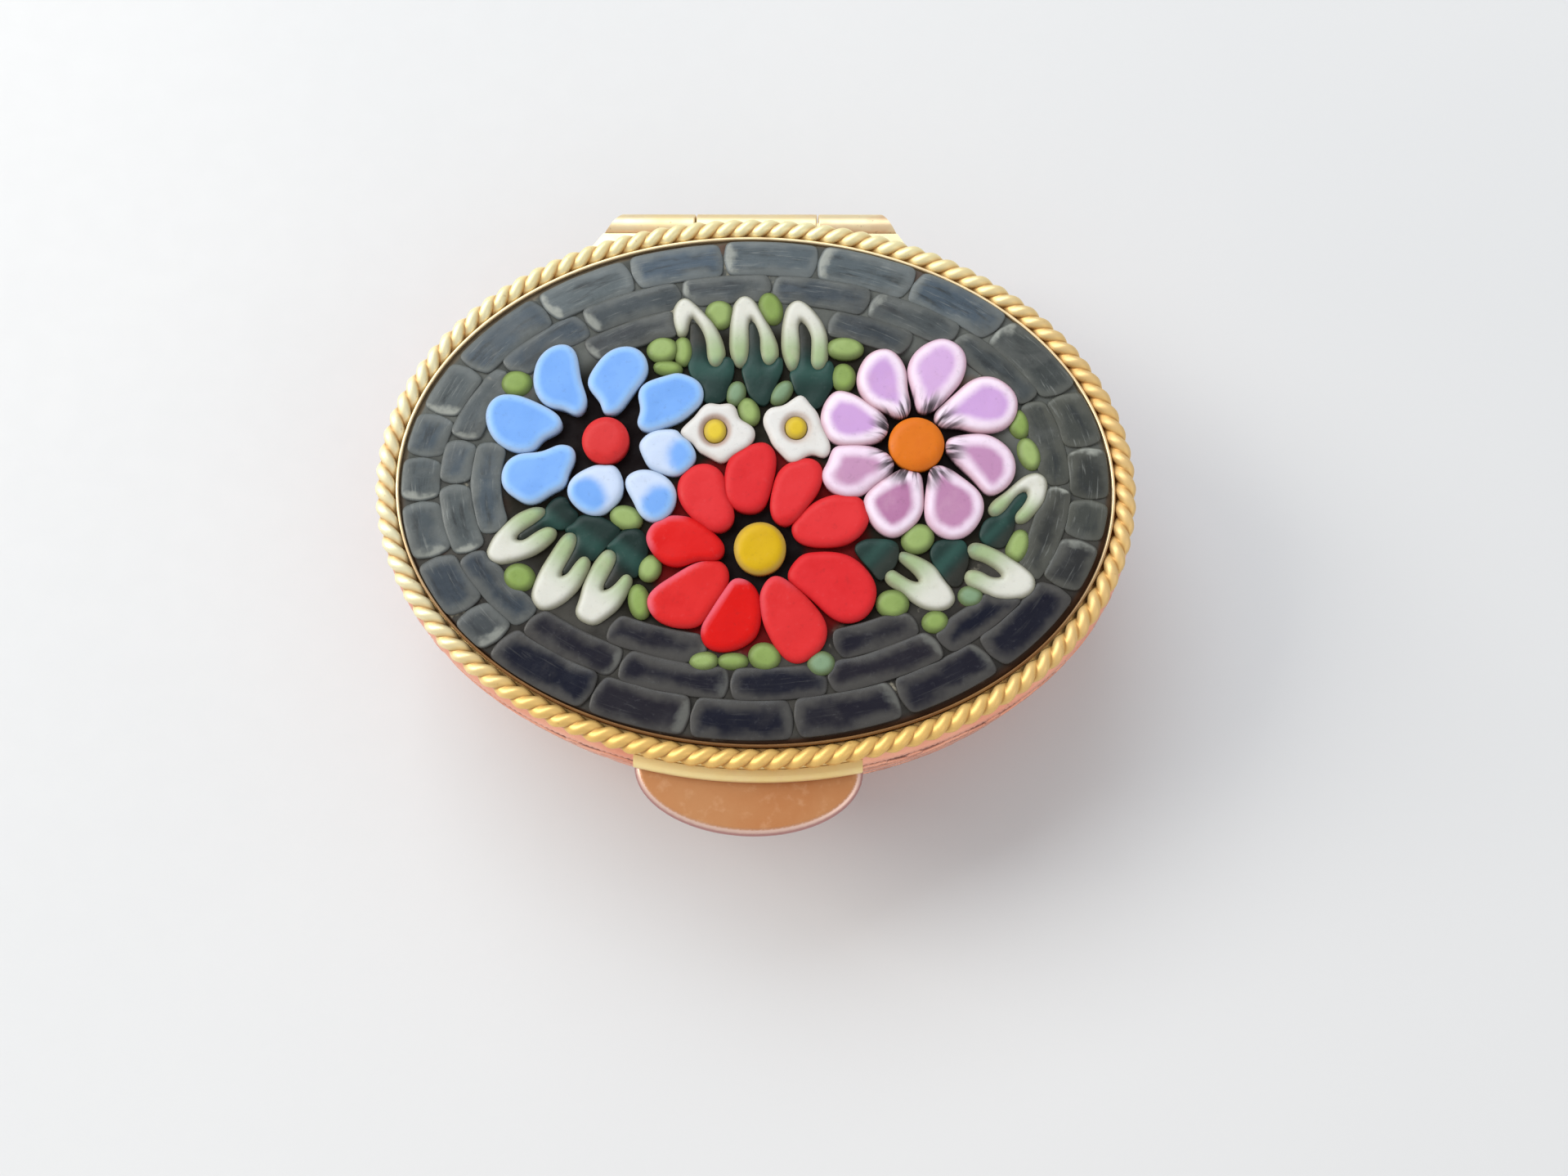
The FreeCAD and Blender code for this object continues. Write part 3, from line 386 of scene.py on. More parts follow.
def leaf_tip_material():
    """Strip glass: cream at the bend, pale green towards the cut ends."""
    n = Nodes("leaf_tip_glass")
    green = n.attribute("green")
    color = n.mix(n.span(green, 0.26, 0.80), (0.66, 0.65, 0.58), (0.33, 0.42, 0.22))
    color = n.mix(n.span(green, 0.82, 1.0, 0.0, 0.75), color, (0.13, 0.22, 0.15))
    # Painted shade: dark olive along the edge of each strip.
    color = n.mix(n.span(n.attribute("rim"), 0.0, 0.34, 0.8, 0.0), color, (0.23, 0.22, 0.14))
    cloud = n.noise(900.0, 4.0, 0.6)
    color = n.mix(n.span(cloud, 0.5, 0.8, 0.0, 0.45), color, (0.48, 0.47, 0.34))
    return glass_finish(n, color, 0.36, sss=0.06, spec=0.2)


def leaf_body_material():
    """Dark teal glass, lighter at the foot of the strips and smoky up between them."""
    n = Nodes("dark_green_glass")
    tongue = n.attribute("tongue")
    base = n.mix(n.attribute("low"), (0.011, 0.033, 0.027), (0.003, 0.016, 0.012))
    color = n.mix(n.span(tongue, 0.55, 0.80), base, (0.028, 0.028, 0.022))
    sheen = n.math("MULTIPLY", n.span(tongue, 0.22, 0.42), n.span(tongue, 0.42, 0.64, 1.0, 0.0))
    color = n.mix(n.math("MULTIPLY", sheen, 0.5), color, (0.031, 0.101, 0.082))
    color = mottled(n, color, (0.019, 0.047, 0.039), (0.003, 0.009, 0.008), 0.3)
    return glass_finish(n, color, 0.34, spec=0.2)


def bud_material():
    """Leaf green glass beads, some of them greyer or more teal."""
    n = Nodes("bud_green_glass")
    color = mottled(n, (0.235, 0.335, 0.085), (0.33, 0.43, 0.16), (0.15, 0.22, 0.05), 0.7)
    color = n.mix(n.attribute("pale"), color, (0.19, 0.29, 0.19))
    color = n.mix(n.span(n.attribute("rim"), 0.0, 0.42, 0.8, 0.0), color, (0.10, 0.13, 0.04))
    return glass_finish(n, color, 0.34, sss=0.05, spec=0.18)


def mastic_material():
    """Grey-brown cement with cream crumbs, almost black in the garden and dark red by the red petals."""
    n = Nodes("mastic")
    shade = n.span(n.noise(260.0, 5.0, 0.6), 0.35, 0.7)
    front = n.mix(shade, (0.022, 0.020, 0.018), (0.062, 0.058, 0.050))
    back = n.mix(shade, (0.066, 0.070, 0.064), (0.125, 0.130, 0.118))
    base = n.mix(n.attribute("back"), front, back)
    crumbs = n.noise(560.0, 4.0, 0.6)
    base = n.mix(n.span(crumbs, 0.62, 0.72, 0.0, 0.85), base, (0.33, 0.30, 0.23))
    rust = n.noise(300.0, 3.0, 0.5)
    base = n.mix(n.span(rust, 0.60, 0.74, 0.0, 0.6), base, (0.12, 0.050, 0.025))
    color = n.mix(n.attribute("garden"), base, (0.014, 0.012, 0.007))
    # Near black between the petals: partly dark mastic, partly painted shade.
    color = n.mix(n.attribute("heart"), color, (0.005, 0.002, 0.002))
    color = n.mix(n.attribute("red"), color, (0.115, 0.002, 0.002))
    # Painted shade along the collar: dark brown on the tab half, greyer on the hinge half.
    edge_shade = n.mix(n.attribute("back"), (0.050, 0.022, 0.010), (0.125, 0.098, 0.066))
    color = n.mix(n.attribute("edge"), color, edge_shade)
    roughness = n.span(n.noise(900.0, 3.0, 0.6), 0.3, 0.7, 0.6, 0.85)
    normal = n.bump(n.noise(2200.0, 5.0, 0.7), 0.5, 0.00008)
    return n.done(color, roughness, normal, Specular_IOR_Level=0.12)


def floor_material():
    """Pale matt paper."""
    n = Nodes("floor_paper")
    color = n.mix(n.span(n.noise(9.0, 3.0, 0.5), 0.3, 0.7), (0.70, 0.70, 0.70), (0.74, 0.735, 0.73))
    roughness = n.span(n.noise(500.0, 3.0, 0.5), 0.3, 0.7, 0.75, 0.9)
    normal = n.bump(n.noise(1500.0, 4.0, 0.6), 0.12, 0.00006)
    return n.done(color, roughness, normal)


# ---- mesh helpers

def new_object(name, verts, faces, material):
    """A smooth-shaded mesh object; verts are in metres."""
    mesh = bpy.data.meshes.new(name)
    mesh.from_pydata([tuple(v) for v in verts], [], faces)
    mesh.validate()
    mesh.update()
    mesh.polygons.foreach_set("use_smooth", [True] * len(mesh.polygons))
    obj = bpy.data.objects.new(name, mesh)
    bpy.context.scene.collection.objects.link(obj)
    mesh.materials.append(material)
    return obj


def set_attribute(obj, name, values):
    """One number at each vertex, which the material reads by its name."""
    layer = obj.data.attributes.new(name, "FLOAT", "POINT")
    layer.data.foreach_set("value", np.asarray(values, np.float32))


def smoothstep(x, low, high):
    """0 below low, 1 above high and a soft rise between."""
    t = np.clip((x - low) / (high - low), 0.0, 1.0)
    return t * t * (3 - 2 * t)


def oval_point(offset, t):
    """Point of the oval grown by the offset, turned as the box's oval is."""
    x, y = (OVAL_A + offset) * np.cos(t), (OVAL_B + offset) * np.sin(t)
    c, s = math.cos(OVAL_TURN), math.sin(OVAL_TURN)
    return np.array([c * x - s * y, s * x + c * y])


def oval_arc(offset, steps):
    """Ellipse parameters at even arc length, and the length all round."""
    fine = np.linspace(0, 2 * math.pi, 7201)
    x, y = oval_point(offset, fine)
    lengths = np.concatenate([[0], np.cumsum(np.hypot(np.diff(x), np.diff(y)))])
    wanted = np.arange(steps) * lengths[-1] / steps
    return np.interp(wanted, lengths, fine), wanted, lengths[-1]


def wrapped_faces(rows, steps):
    """Quads between rows of points that close round both ways."""
    faces = []
    for row in range(rows):
        here, above = row * steps, (row + 1) % rows * steps
        for step in range(steps):
            following = (step + 1) % steps
            faces.append((here + step, here + following, above + following, above + step))
    return faces


# ---- glass pieces

OUTLINE_STEP = 0.16
FINE = 0.16
RING_MEAN = 17.0
TOP_TOLERANCE = 5e-6
WELD = 2e-6


def top_loops(node):
    """Plan outlines of the flat tops of each solid of a node, in millimetres."""
    bm = bmesh.new()
    bm.from_mesh(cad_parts[node].data)
    bmesh.ops.remove_doubles(bm, verts=bm.verts, dist=WELD)
    bm.edges.index_update()
    seen = set()
    pieces = []
    for start in bm.verts:
        if start in seen:
            continue
        group, queue = [], [start]
        seen.add(start)
        while queue:
            v = queue.pop()
            group.append(v)
            for edge in v.link_edges:
                other = edge.other_vert(v)
                if other not in seen:
                    seen.add(other)
                    queue.append(other)
        pieces.append(outlines_of(group))
    bm.free()
    return [p for p in pieces if p]


def outlines_of(group):
    """Closed outlines of a solid's top face, the outer one first."""
    floor_of_top = max(v.co.z for v in group) - TOP_TOLERANCE
    faces = set(f for v in group for f in v.link_faces if min(w.co.z for w in f.verts) > floor_of_top)
    border = (e for f in faces for e in f.edges if sum(g in faces for g in e.link_faces) == 1)
    edges = sorted(border, key=lambda e: e.index)
    links = {}
    for edge in edges:
        for a, b in (edge.verts, reversed(edge.verts)):
            links.setdefault(a, []).append(b)
    loops = []
    while links:
        start = next(iter(links))
        loop, last, here = [start], None, start
        while True:
            following = [v for v in links[here] if v is not last]
            last, here = here, following[0] if following else start
            if here is start:
                break
            loop.append(here)
        for v in loop:
            links.pop(v, None)
        loops.append(np.array([(v.co.x / MM, v.co.y / MM) for v in loop]))
    loops.sort(key=lambda l: -abs(area_of(l)))
    return loops


def area_of(loop):
    """Signed area, positive for a counter-clockwise loop."""
    x, y = loop[:, 0], loop[:, 1]
    return 0.5 * float(np.sum(x * np.roll(y, -1) - np.roll(x, -1) * y))


def even_loop(loop, spacing, rounds):
    """The loop counter-clockwise, at even spacing, with softened corners."""
    if area_of(loop) < 0:
        loop = loop[::-1]
    closed = np.vstack([loop, loop[:1]])
    lengths = np.concatenate([[0], np.cumsum(np.hypot(*np.diff(closed, axis=0).T))])
    count = max(12, int(round(lengths[-1] / spacing)))
    wanted = np.arange(count) * lengths[-1] / count
    out = np.column_stack([np.interp(wanted, lengths, closed[:, k]) for k in (0, 1)])
    for _ in range(rounds):
        out = 0.5 * out + 0.25 * (np.roll(out, 1, 0) + np.roll(out, -1, 0))
    return out


def edge_distance(points, loops):
    """Distance from each point to the nearest outline."""
    best = np.full(len(points), 1e9)
    for loop in loops:
        a, b = loop, np.roll(loop, -1, 0)
        ab = b - a
        ap = points[:, None, :] - a[None]
        t = np.clip((ap * ab).sum(2) / (ab * ab).sum(1), 0, 1)
        gap = np.hypot(*np.moveaxis(ap - t[..., None] * ab, 2, 0))
        best = np.minimum(best, gap.min(1))
    return best


def inside(points, loops):
    """Even-odd test for being inside the outer outline and outside the holes."""
    odd = np.zeros(len(points), bool)
    x, y = points[:, 0:1], points[:, 1:2]
    for loop in loops:
        x0, y0 = loop[:, 0], loop[:, 1]
        x1, y1 = np.roll(x0, -1), np.roll(y0, -1)
        spans = (y0 > y) != (y1 > y)
        rise = np.where(y1 == y0, 1e-9, y1 - y0)
        crossings = (x < (x1 - x0) * (y - y0) / rise + x0) & spans
        odd ^= crossings.sum(1) % 2 == 1
    return odd


def fill_points(loops, spacing):
    """Inset rings near the edge and a staggered grid further in."""
    outer = loops[0]
    points = []
    for loop in loops:
        side = np.roll(loop, -1, 0) - np.roll(loop, 1, 0)
        normal = np.column_stack([-side[:, 1], side[:, 0]]) / np.hypot(side[:, 0], side[:, 1])[:, None]
        for inset in (0.05, 0.13):
            ring = loop + normal * inset
            points.append(ring[edge_distance(ring, loops) > 0.9 * inset])
    low, high = outer.min(0), outer.max(0)
    rows = np.arange(low[1], high[1], spacing * 0.87)
    for index, y in enumerate(rows):
        x = np.arange(low[0] + spacing / 2 * (index % 2), high[0], spacing)
        row = np.column_stack([x, np.full(len(x), y)])
        if len(row):
            points.append(row[edge_distance(row, loops) > 0.13 + 0.45 * spacing])
    points = np.vstack(points)
    return points[inside(points, loops)]


def swollen(loop, grow):
    """The counter-clockwise loop moved outward."""
    side = np.roll(loop, -1, 0) - np.roll(loop, 1, 0)
    return loop + grow * np.column_stack([side[:, 1], -side[:, 0]]) / np.hypot(*side.T)[:, None]


def pillow(loops, top, bottom, crown, drop, spacing, seed, tilt):
    """Closed glass piece: sloping rim, gently uneven and tilted crown, straight sides."""
    loops = [loops[0]] + [loop[::-1] for loop in loops[1:]]
    extra = fill_points(loops, spacing)
    rims = np.vstack(loops)
    plan = np.vstack([rims, extra])
    edges, start = [], 0
    for loop in loops:
        count = len(loop)
        edges += [(start + k, start + (k + 1) % count) for k in range(count)]
        start += count
    cut = delaunay_2d_cdt([Vector(p) for p in plan], edges, [], 0, 1e-5)
    plan = np.array([tuple(v) for v in cut[0]])
    sources = cut[3]
    triangles = np.array([f for f in cut[2] if len(f) == 3])
    triangles = triangles[inside(plan[triangles].mean(1), loops)]
    gap = edge_distance(plan, loops)
    gap[[k for k, s in enumerate(sources) if any(i < len(rims) for i in s)]] = 0.0
    share = np.clip(gap / crown, 0, 1)
    rise = 1 - (1 - share) ** 2.6
    shift = 7.3 * seed
    waves = np.array([noise.noise(Vector((x * 0.7 + shift, y * 0.7, shift))) for x, y in plan])
    lean = (plan - plan.mean(0)) @ np.array([math.cos(shift), math.sin(shift)])
    height = top - drop * (1 - rise) - 0.05 * (1 + waves) + tilt * lean
    count = len(plan)
    verts = np.vstack([np.column_stack([plan, height]), np.column_stack([plan, np.full(count, bottom)])])
    faces = [tuple(t) for t in triangles]
    faces += [(c + count, b + count, a + count) for a, b, c in triangles]
    sides = {}
    for a, b, c in triangles:
        for u, v in ((a, b), (b, c), (c, a)):
            sides[(u, v)] = sides.get((u, v), 0) + 1
    for u, v in sides:
        if (v, u) not in sides:
            faces.append((v, u, u + count, v + count))
    return verts, faces, np.concatenate([gap, gap])


def glass_piece(name, node, slot, material, crown, drop, spacing=0.22, rounds=2, marks=None,
                grow=0.0, tilt=0.0):
    """One object for all glass pieces of a CAD node, in place of that node.

    crown is the width of the sloping rim and drop its height; grow widens each outline.
    """
    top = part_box(node)[1].z / MM
    verts, faces, rim, tint, extra = [], [], [], [], {}
    for index, loops in enumerate(top_loops(node)):
        loops = [even_loop(loop, OUTLINE_STEP, rounds) for loop in loops]
        loops[0] = swollen(loops[0], grow)
        v, f, gap = pillow(loops, top, BED_TOP, crown, drop, spacing, index + len(node), tilt)
        base = sum(len(part) for part in verts)
        verts.append(v)
        faces += [tuple(k + base for k in face) for face in f]
        rim.append(gap)
        tint.append(np.full(len(v), 0.5 + 0.5 * math.sin(2.7 * index + len(node))))
        for key, values in (marks(v, loops) if marks else {}).items():
            extra.setdefault(key, []).append(values)
    obj = new_object(name, np.vstack(verts) * MM, faces, material)
    set_attribute(obj, "rim", np.concatenate(rim))
    set_attribute(obj, "tint", np.concatenate(tint))
    for key, values in extra.items():
        set_attribute(obj, key, np.concatenate(values))
    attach(obj, "lid")
    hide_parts(node)


def centre_of(node):
    """Middle of a node's box in plan."""
    low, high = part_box(node)
    return np.array([(low.x + high.x) / 2 / MM, (low.y + high.y) / 2 / MM])


# White-cased blue petals: (a spot in the petal, the middle of its blue core, the core's radius)
CASED = [((-4.9, 1.4), (-3.5, 1.15), 1.25), ((-5.8, -1.0), (-5.15, -1.75), 1.05),
         ((-8.8, -0.7), (-9.3, -1.15), 1.05)]
CASED_SOFT = 0.65


def blue_marks(verts, loops):
    """White casing away from the blue core, on the three cased petals."""
    white = np.zeros(len(verts))
    for spot, core, radius in CASED:
        if inside(np.array([spot]), loops)[0]:
            reach = np.hypot(*(verts[:, :2] - core).T)
            white = smoothstep(reach, radius - CASED_SOFT, radius + CASED_SOFT)
    return {"white": white}


def pink_marks(verts, loops):
    """How far out along its petal and at which turn a point lies; low petals have a deeper core."""
    middle = centre_of("pink_flower_centre")
    away = verts[:, :2] - middle
    reach = np.hypot(*(loops[0] - middle).T)
    along = (np.hypot(*away.T) - reach.min()) / (reach.max() - reach.min())
    below = middle[1] - loops[0][:, 1].mean()
    return {"along": along, "turn": np.arctan2(away[:, 1], away[:, 0]),
            "low": np.full(len(verts), smoothstep(below, -2.0, 2.0))}


def red_marks(verts, loops):
    """Petals at the lower left get a deeper red as painted shade and a pale edge at their upper left as a
    painted highlight.
    """
    middle = loops[0].mean(0)
    x, y = middle - centre_of("red_flower_centre")
    lower_left = (-0.75 * x - 0.66 * y) / math.hypot(x, y)
    upper_left = np.array([-0.75, 0.66])
    side = (verts[:, :2] - middle) @ upper_left / np.abs((loops[0] - middle) @ upper_left).max()
    edge = 1 - smoothstep(edge_distance(verts[:, :2], loops), 0.15, 0.45)
    return {"deep": np.full(len(verts), smoothstep(lower_left, 0.0, 0.8)),
            "lit": edge * smoothstep(side, 0.25, 0.65)}


def daisy_marks(verts, loops):
    """Distance from the hole's edge."""
    return {"ring": edge_distance(verts[:, :2], loops[1:])}


def outward_from_foot(loops):
    """Direction from a leaf's foot to its bend: up at the top, away from the middle elsewhere."""
    centre = loops[0].mean(0)
    if abs(centre[0]) < 6 and centre[1] > 0:
        return np.array([0.0, 1.0])
    if centre[0] < 0:
        return np.array([-0.60, -0.80])
    return np.array([0.45, 0.89]) if centre[1] > -2.2 else np.array([0.72, -0.69])


def share_along(verts, loops):
    """0 at a leaf's foot and 1 at its far end."""
    direction = outward_from_foot(loops)
    level = verts[:, :2] @ direction
    span = loops[0] @ direction
    return (level - span.min()) / (span.max() - span.min())


def tip_marks(verts, loops):
    """0 at the bend of a strip and 1 at its cut ends."""
    return {"green": 1 - share_along(verts, loops)}


def body_marks(verts, loops):
    """How far up the tongue each point lies, and how deep the piece's green is."""
    low = 1.0 if loops[0][:, 0].mean() < -5 else 0.0
    return {"tongue": share_along(verts, loops), "low": np.full(len(verts), low)}


# The beads that are paler and more teal: where they sit
PALE_BUDS = [(-1.1, 5.1), (1.5, 5.15), (3.75, -10.5), (11.9, -6.75)]


def bud_marks(verts, loops):
    """Which beads are paler."""
    pale = any(inside(np.array([spot]), loops)[0] for spot in PALE_BUDS)
    return {"pale": np.full(len(verts), 0.85 if pale else 0.0)}


def brick_marks(verts, loops):
    """Place in the ring for the drawn streaks, and the tone of each part of the field.

    lane is the distance from the middle and arc the way round, in millimetres; end is the way
    to the brick's counter-clockwise end. contrast is high where the cores are painted darker, a
    painted shade at the tab side; the second value is high where they are painted blue-grey, a
    painted sheen at the hinge side and the left.
    """
    x, y = verts[:, 0] / OVAL_A, verts[:, 1] / OVAL_B
    middle_x, middle_y = loops[0].mean(0) / np.array([OVAL_A, OVAL_B])
    reach = math.hypot(middle_x, middle_y)
    height = middle_y / reach
    # Painted shade at the tab side, set piece by piece.
    contrast = 0.10 + 0.90 * smoothstep(-height, 0.15, 0.60)
    # Painted sheen at the hinge side and the left, set piece by piece.
    painted_sheen = smoothstep(height, 0.35, 0.90)
    inward = 1 - smoothstep(reach, 0.72, 0.90)
    if height > 0.2:
        painted_sheen *= 1 - 0.65 * inward
        contrast += 0.30 * inward
    if middle_x < -0.45 and height > -0.62:
        painted_sheen = max(painted_sheen, 0.65)
        contrast = min(contrast, 0.45)
    around = RING_MEAN * np.angle((x + 1j * y) * np.exp(-1j * math.atan2(middle_y, middle_x)))
    return {"lane": RING_MEAN * np.hypot(x, y), "arc": RING_MEAN * np.arctan2(y, x),
            "end": around.max() - around,
            "contrast": np.full(len(verts), contrast), "painted_sheen": np.full(len(verts), painted_sheen)}


def flower_glass():
    """The petals and round centres of the three large flowers."""
    glass_piece("blue_petals_glass", "blue_petals", "blue_glass", blue_material(), crown=0.42, drop=0.20,
                marks=blue_marks, grow=0.03, tilt=0.03)
    glass_piece("pink_petals_glass", "pink_petals", "pink_glass", pink_material(), crown=0.45, drop=0.22,
                marks=pink_marks, grow=0.07, tilt=0.03)
    glass_piece("red_petals_glass", "red_petals", "red_glass", red_material(), crown=0.40, drop=0.24,
                marks=red_marks, grow=0.10, tilt=0.05)
    red_dot = plain_glass("red_dot_glass", (0.63, 0.030, 0.030), (0.68, 0.05, 0.045), (0.52, 0.010, 0.010))
    orange = plain_glass("orange_glass", (0.68, 0.165, 0.010), (0.72, 0.21, 0.02), (0.58, 0.11, 0.006))
    yellow = plain_glass("yellow_glass", (0.64, 0.395, 0.006), (0.68, 0.45, 0.03), (0.52, 0.29, 0.006),
                         rim_color=(0.40, 0.27, 0.06))
    dots = {"blue_flower": ("red_glass", red_dot), "pink_flower": ("orange_glass", orange),
            "red_flower": ("yellow_glass", yellow)}
    for flower, (slot, material) in dots.items():
        glass_piece(flower + "_dot", flower + "_centre", slot, material, crown=0.6, drop=0.26)


def daisy_glass():
    """The two white slices and their yellow dots."""
    glass_piece("daisy_slices", "daisy_petals", "white_glass", daisy_material(), crown=0.4, drop=0.18,
                spacing=FINE, marks=daisy_marks, grow=0.04)
    lemon = plain_glass("lemon_glass", (0.68, 0.49, 0.020), (0.74, 0.56, 0.06), (0.58, 0.38, 0.012),
                        rim_color=(0.44, 0.30, 0.05))
    glass_piece("daisy_dots", "daisy_centres", "yellow_glass", lemon, crown=0.4, drop=0.14,
                spacing=FINE, grow=0.03)


def leaf_glass():
    """The bent strips, the dark pieces below them and the round buds."""
    glass_piece("leaf_tip_strips", "leaf_tips", "cream_green_glass", leaf_tip_material(),
                crown=0.45, drop=0.28, spacing=FINE, rounds=1, marks=tip_marks, grow=0.05)
    glass_piece("leaf_body_pieces", "leaf_bodies", "dark_green_glass", leaf_body_material(),
                crown=0.4, drop=0.12, spacing=0.2, rounds=1, marks=body_marks, grow=0.10)
    glass_piece("bud_pieces", "buds", "bud_green_glass", bud_material(), crown=0.45, drop=0.26,
                spacing=FINE, marks=bud_marks, grow=0.13, tilt=0.05)


def field_glass():
    """The three rows of dark bricks."""
    material = field_material()
    for row in (1, 2, 3):
        node = f"field_row_{row}"
        glass_piece(node + "_glass", node, "field_glass", material, crown=0.34, drop=0.08,
                    spacing=0.26, rounds=3, marks=brick_marks, grow=0.09, tilt=0.025)


# ---- mastic bed

HEARTS = [centre_of(flower + "_flower_centre") for flower in ("blue", "pink", "red")]
HEART_R = 3.3
RED_REACH = 5.6
GARDEN_OFFSET = -5.6


def heart_share(x, y):
    """1 between the petals, falling to 0 outside a flower."""
    nearest = min(math.hypot(x - c[0], y - c[1]) for c in HEARTS)
    return 1 - smoothstep(nearest, HEART_R - 0.3, HEART_R + 1.2)


def red_share(x, y):
    """1 in the slits between the red petals, 0 near the yellow dot and away from the flower."""
    reach = math.hypot(x - HEARTS[2][0], y - HEARTS[2][1])
    return smoothstep(reach, 2.2, 3.2) * (1 - smoothstep(reach, RED_REACH, RED_REACH + 0.8))


def garden_share(x, y):
    """1 inside the ring where flowers and leaves lie."""
    reach = math.hypot(x / (OVAL_A + GARDEN_OFFSET), y / (OVAL_B + GARDEN_OFFSET))
    return 1 - smoothstep(reach, 0.93, 1.07)


def back_share(_, y):
    """1 on the hinge half of the field, 0 on the tab half."""
    return smoothstep(y / OVAL_B, -0.35, 0.25)


def edge_share(x, y):
    """1 along the collar, 0 under the glass."""
    reach = math.hypot(x / OVAL_A, y / OVAL_B)
    return smoothstep(reach, 0.984, 0.994)


def mastic_height(x, y):
    """Lumpy bed: high between the bricks, lower in the garden, lowest in the flowers and by the collar."""
    lumps = noise.fractal(Vector((x * 0.9, y * 0.9, 3.1)), 1.0, 2.0, 3)
    fine = noise.noise(Vector((x * 3.1, y * 3.1, 8.0)))
    height = BED_TOP + 0.19 + 0.04 * lumps + 0.03 * fine
    return height - 0.20 * max(heart_share(x, y), 0.7 * garden_share(x, y)) - 0.15 * edge_share(x, y)


def mastic_bed():
    """Uneven bed surface between the glass pieces, closed below."""
    rings, steps = 96, 320
    verts = []
    for ring in range(1, rings + 1):
        share = ring / rings
        for step in range(steps):
            t = 2 * math.pi * step / steps
            x, y = share * oval_point(BED_OFFSET, t)
            verts.append((x, y, mastic_height(x, y)))
    faces = []
    for ring in range(rings - 1):
        for step in range(steps):
            a = ring * steps + step
            b = ring * steps + (step + 1) % steps
            faces.append((a, a + steps, b + steps, b))
    middle = len(verts)
    verts.append((0, 0, mastic_height(0, 0)))
    faces += [(middle, step, (step + 1) % steps) for step in range(steps)]
    outer = (rings - 1) * steps
    low = len(verts)
    for step in range(steps):
        x, y, _ = verts[outer + step]
        verts.append((x, y, BED_BOTTOM))
    for step in range(steps):
        following = (step + 1) % steps
        faces.append((outer + step, low + step, low + following, outer + following))
    faces.append(tuple(low + step for step in range(steps))[::-1])
    obj = new_object("mastic_surface", np.array(verts) * MM, faces, mastic_material())
    shares = {"heart": heart_share, "red": red_share, "garden": garden_share, "edge": edge_share,
              "back": back_share}
    for name, share in shares.items():
        set_attribute(obj, name, [share(x, y) for x, y, _ in verts])
    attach(obj, "lid")
    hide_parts("mosaic_bed")


# ---- rope

def rope():
    """Two wires twisted and pressed together, round the collar."""
    per_turn, sides = 24, 32
    steps = ROPE_TURNS * per_turn
    params, _, _ = oval_arc(ROPE_OFFSET, steps)
    centre = np.column_stack([*oval_point(ROPE_OFFSET, params), np.full(steps, ROPE_Z)])
    tangent = np.roll(centre, -1, 0) - np.roll(centre, 1, 0)
    tangent /= np.linalg.norm(tangent, axis=1)[:, None]
    up = np.array([0.0, 0.0, 1.0])
    outward = np.cross(tangent, up)
    wire_r = STRAND_SHARE * ROPE_R
    away = ROPE_R - wire_r
    twist = 2 * math.pi * ROPE_TURNS * np.arange(steps) / steps
    verts, cavity = [], []
    for k in range(sides):
        angle = 2 * math.pi * k / sides
        lobe = abs(math.cos(angle))
        reach = away * lobe + math.sqrt(wire_r ** 2 - away ** 2 * (1 - lobe ** 2))
        turn = twist + angle
        radial = np.cos(turn)[:, None] * outward + np.sin(turn)[:, None] * up
        verts.append(centre + reach * radial)
        cavity.append(np.full(steps, (1 - lobe) ** 2))
    obj = new_object("twisted_rope", np.vstack(verts) * MM, wrapped_faces(sides, steps), rope_material())
    set_attribute(obj, "cavity", np.concatenate(cavity))
    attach(obj, "lid")
    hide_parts("rope_wire")


# ---- stamped walls

SCROLL_REPEATS = 25
WALL_STEPS = 1500
WALL_ROW = 0.085


def profile_points(sections, count):
    """Evenly spread (height, offset) points along a smooth profile."""
    z = np.array([s[0] for s in sections])
    d = np.array([s[1] for s in sections])
    length = np.concatenate([[0], np.cumsum(np.hypot(np.diff(z), np.diff(d)))])
    wanted = np.linspace(0, length[-1], count)
    out_z, out_d = np.interp(wanted, length, z), np.interp(wanted, length, d)
    for _ in range(6):
        out_d[1:-1] = 0.5 * out_d[1:-1] + 0.25 * (out_d[:-2] + out_d[2:])
    return out_z, out_d


def scroll_lines(period, low, high):
    """Points along one repeat of a running vine with curled shoots and leaves."""
    middle, swing = (low + high) / 2, (high - low) * 0.27
    lines = []
    t = np.linspace(0, 1, 60)
    lines.append((np.column_stack([t * period, middle + swing * np.sin(2 * math.pi * t)]), 0.20))
    for half in (0, 1):
        flip = 1 if half == 0 else -1
        root_x = period * (0.25 + 0.5 * half)
        core_y = middle - flip * swing * 0.55
        a = np.linspace(0, 1, 70)
        radius = (high - low) * (0.30 - 0.22 * a)
        angle = math.pi / 2 * flip + flip * a * 3.3 * math.pi
        curl = np.column_stack([root_x + radius * np.cos(angle), core_y + radius * np.sin(angle)])
        lines.append((curl, 0.15))
        for spread in (-1, 1):
            leaf = np.column_stack([root_x + spread * (0.32 + 0.5 * a[:30]) * period * 0.24,
                                    middle + flip * swing * (1.25 - 0.5 * a[:30])])
            lines.append((leaf, 0.17))
    return lines


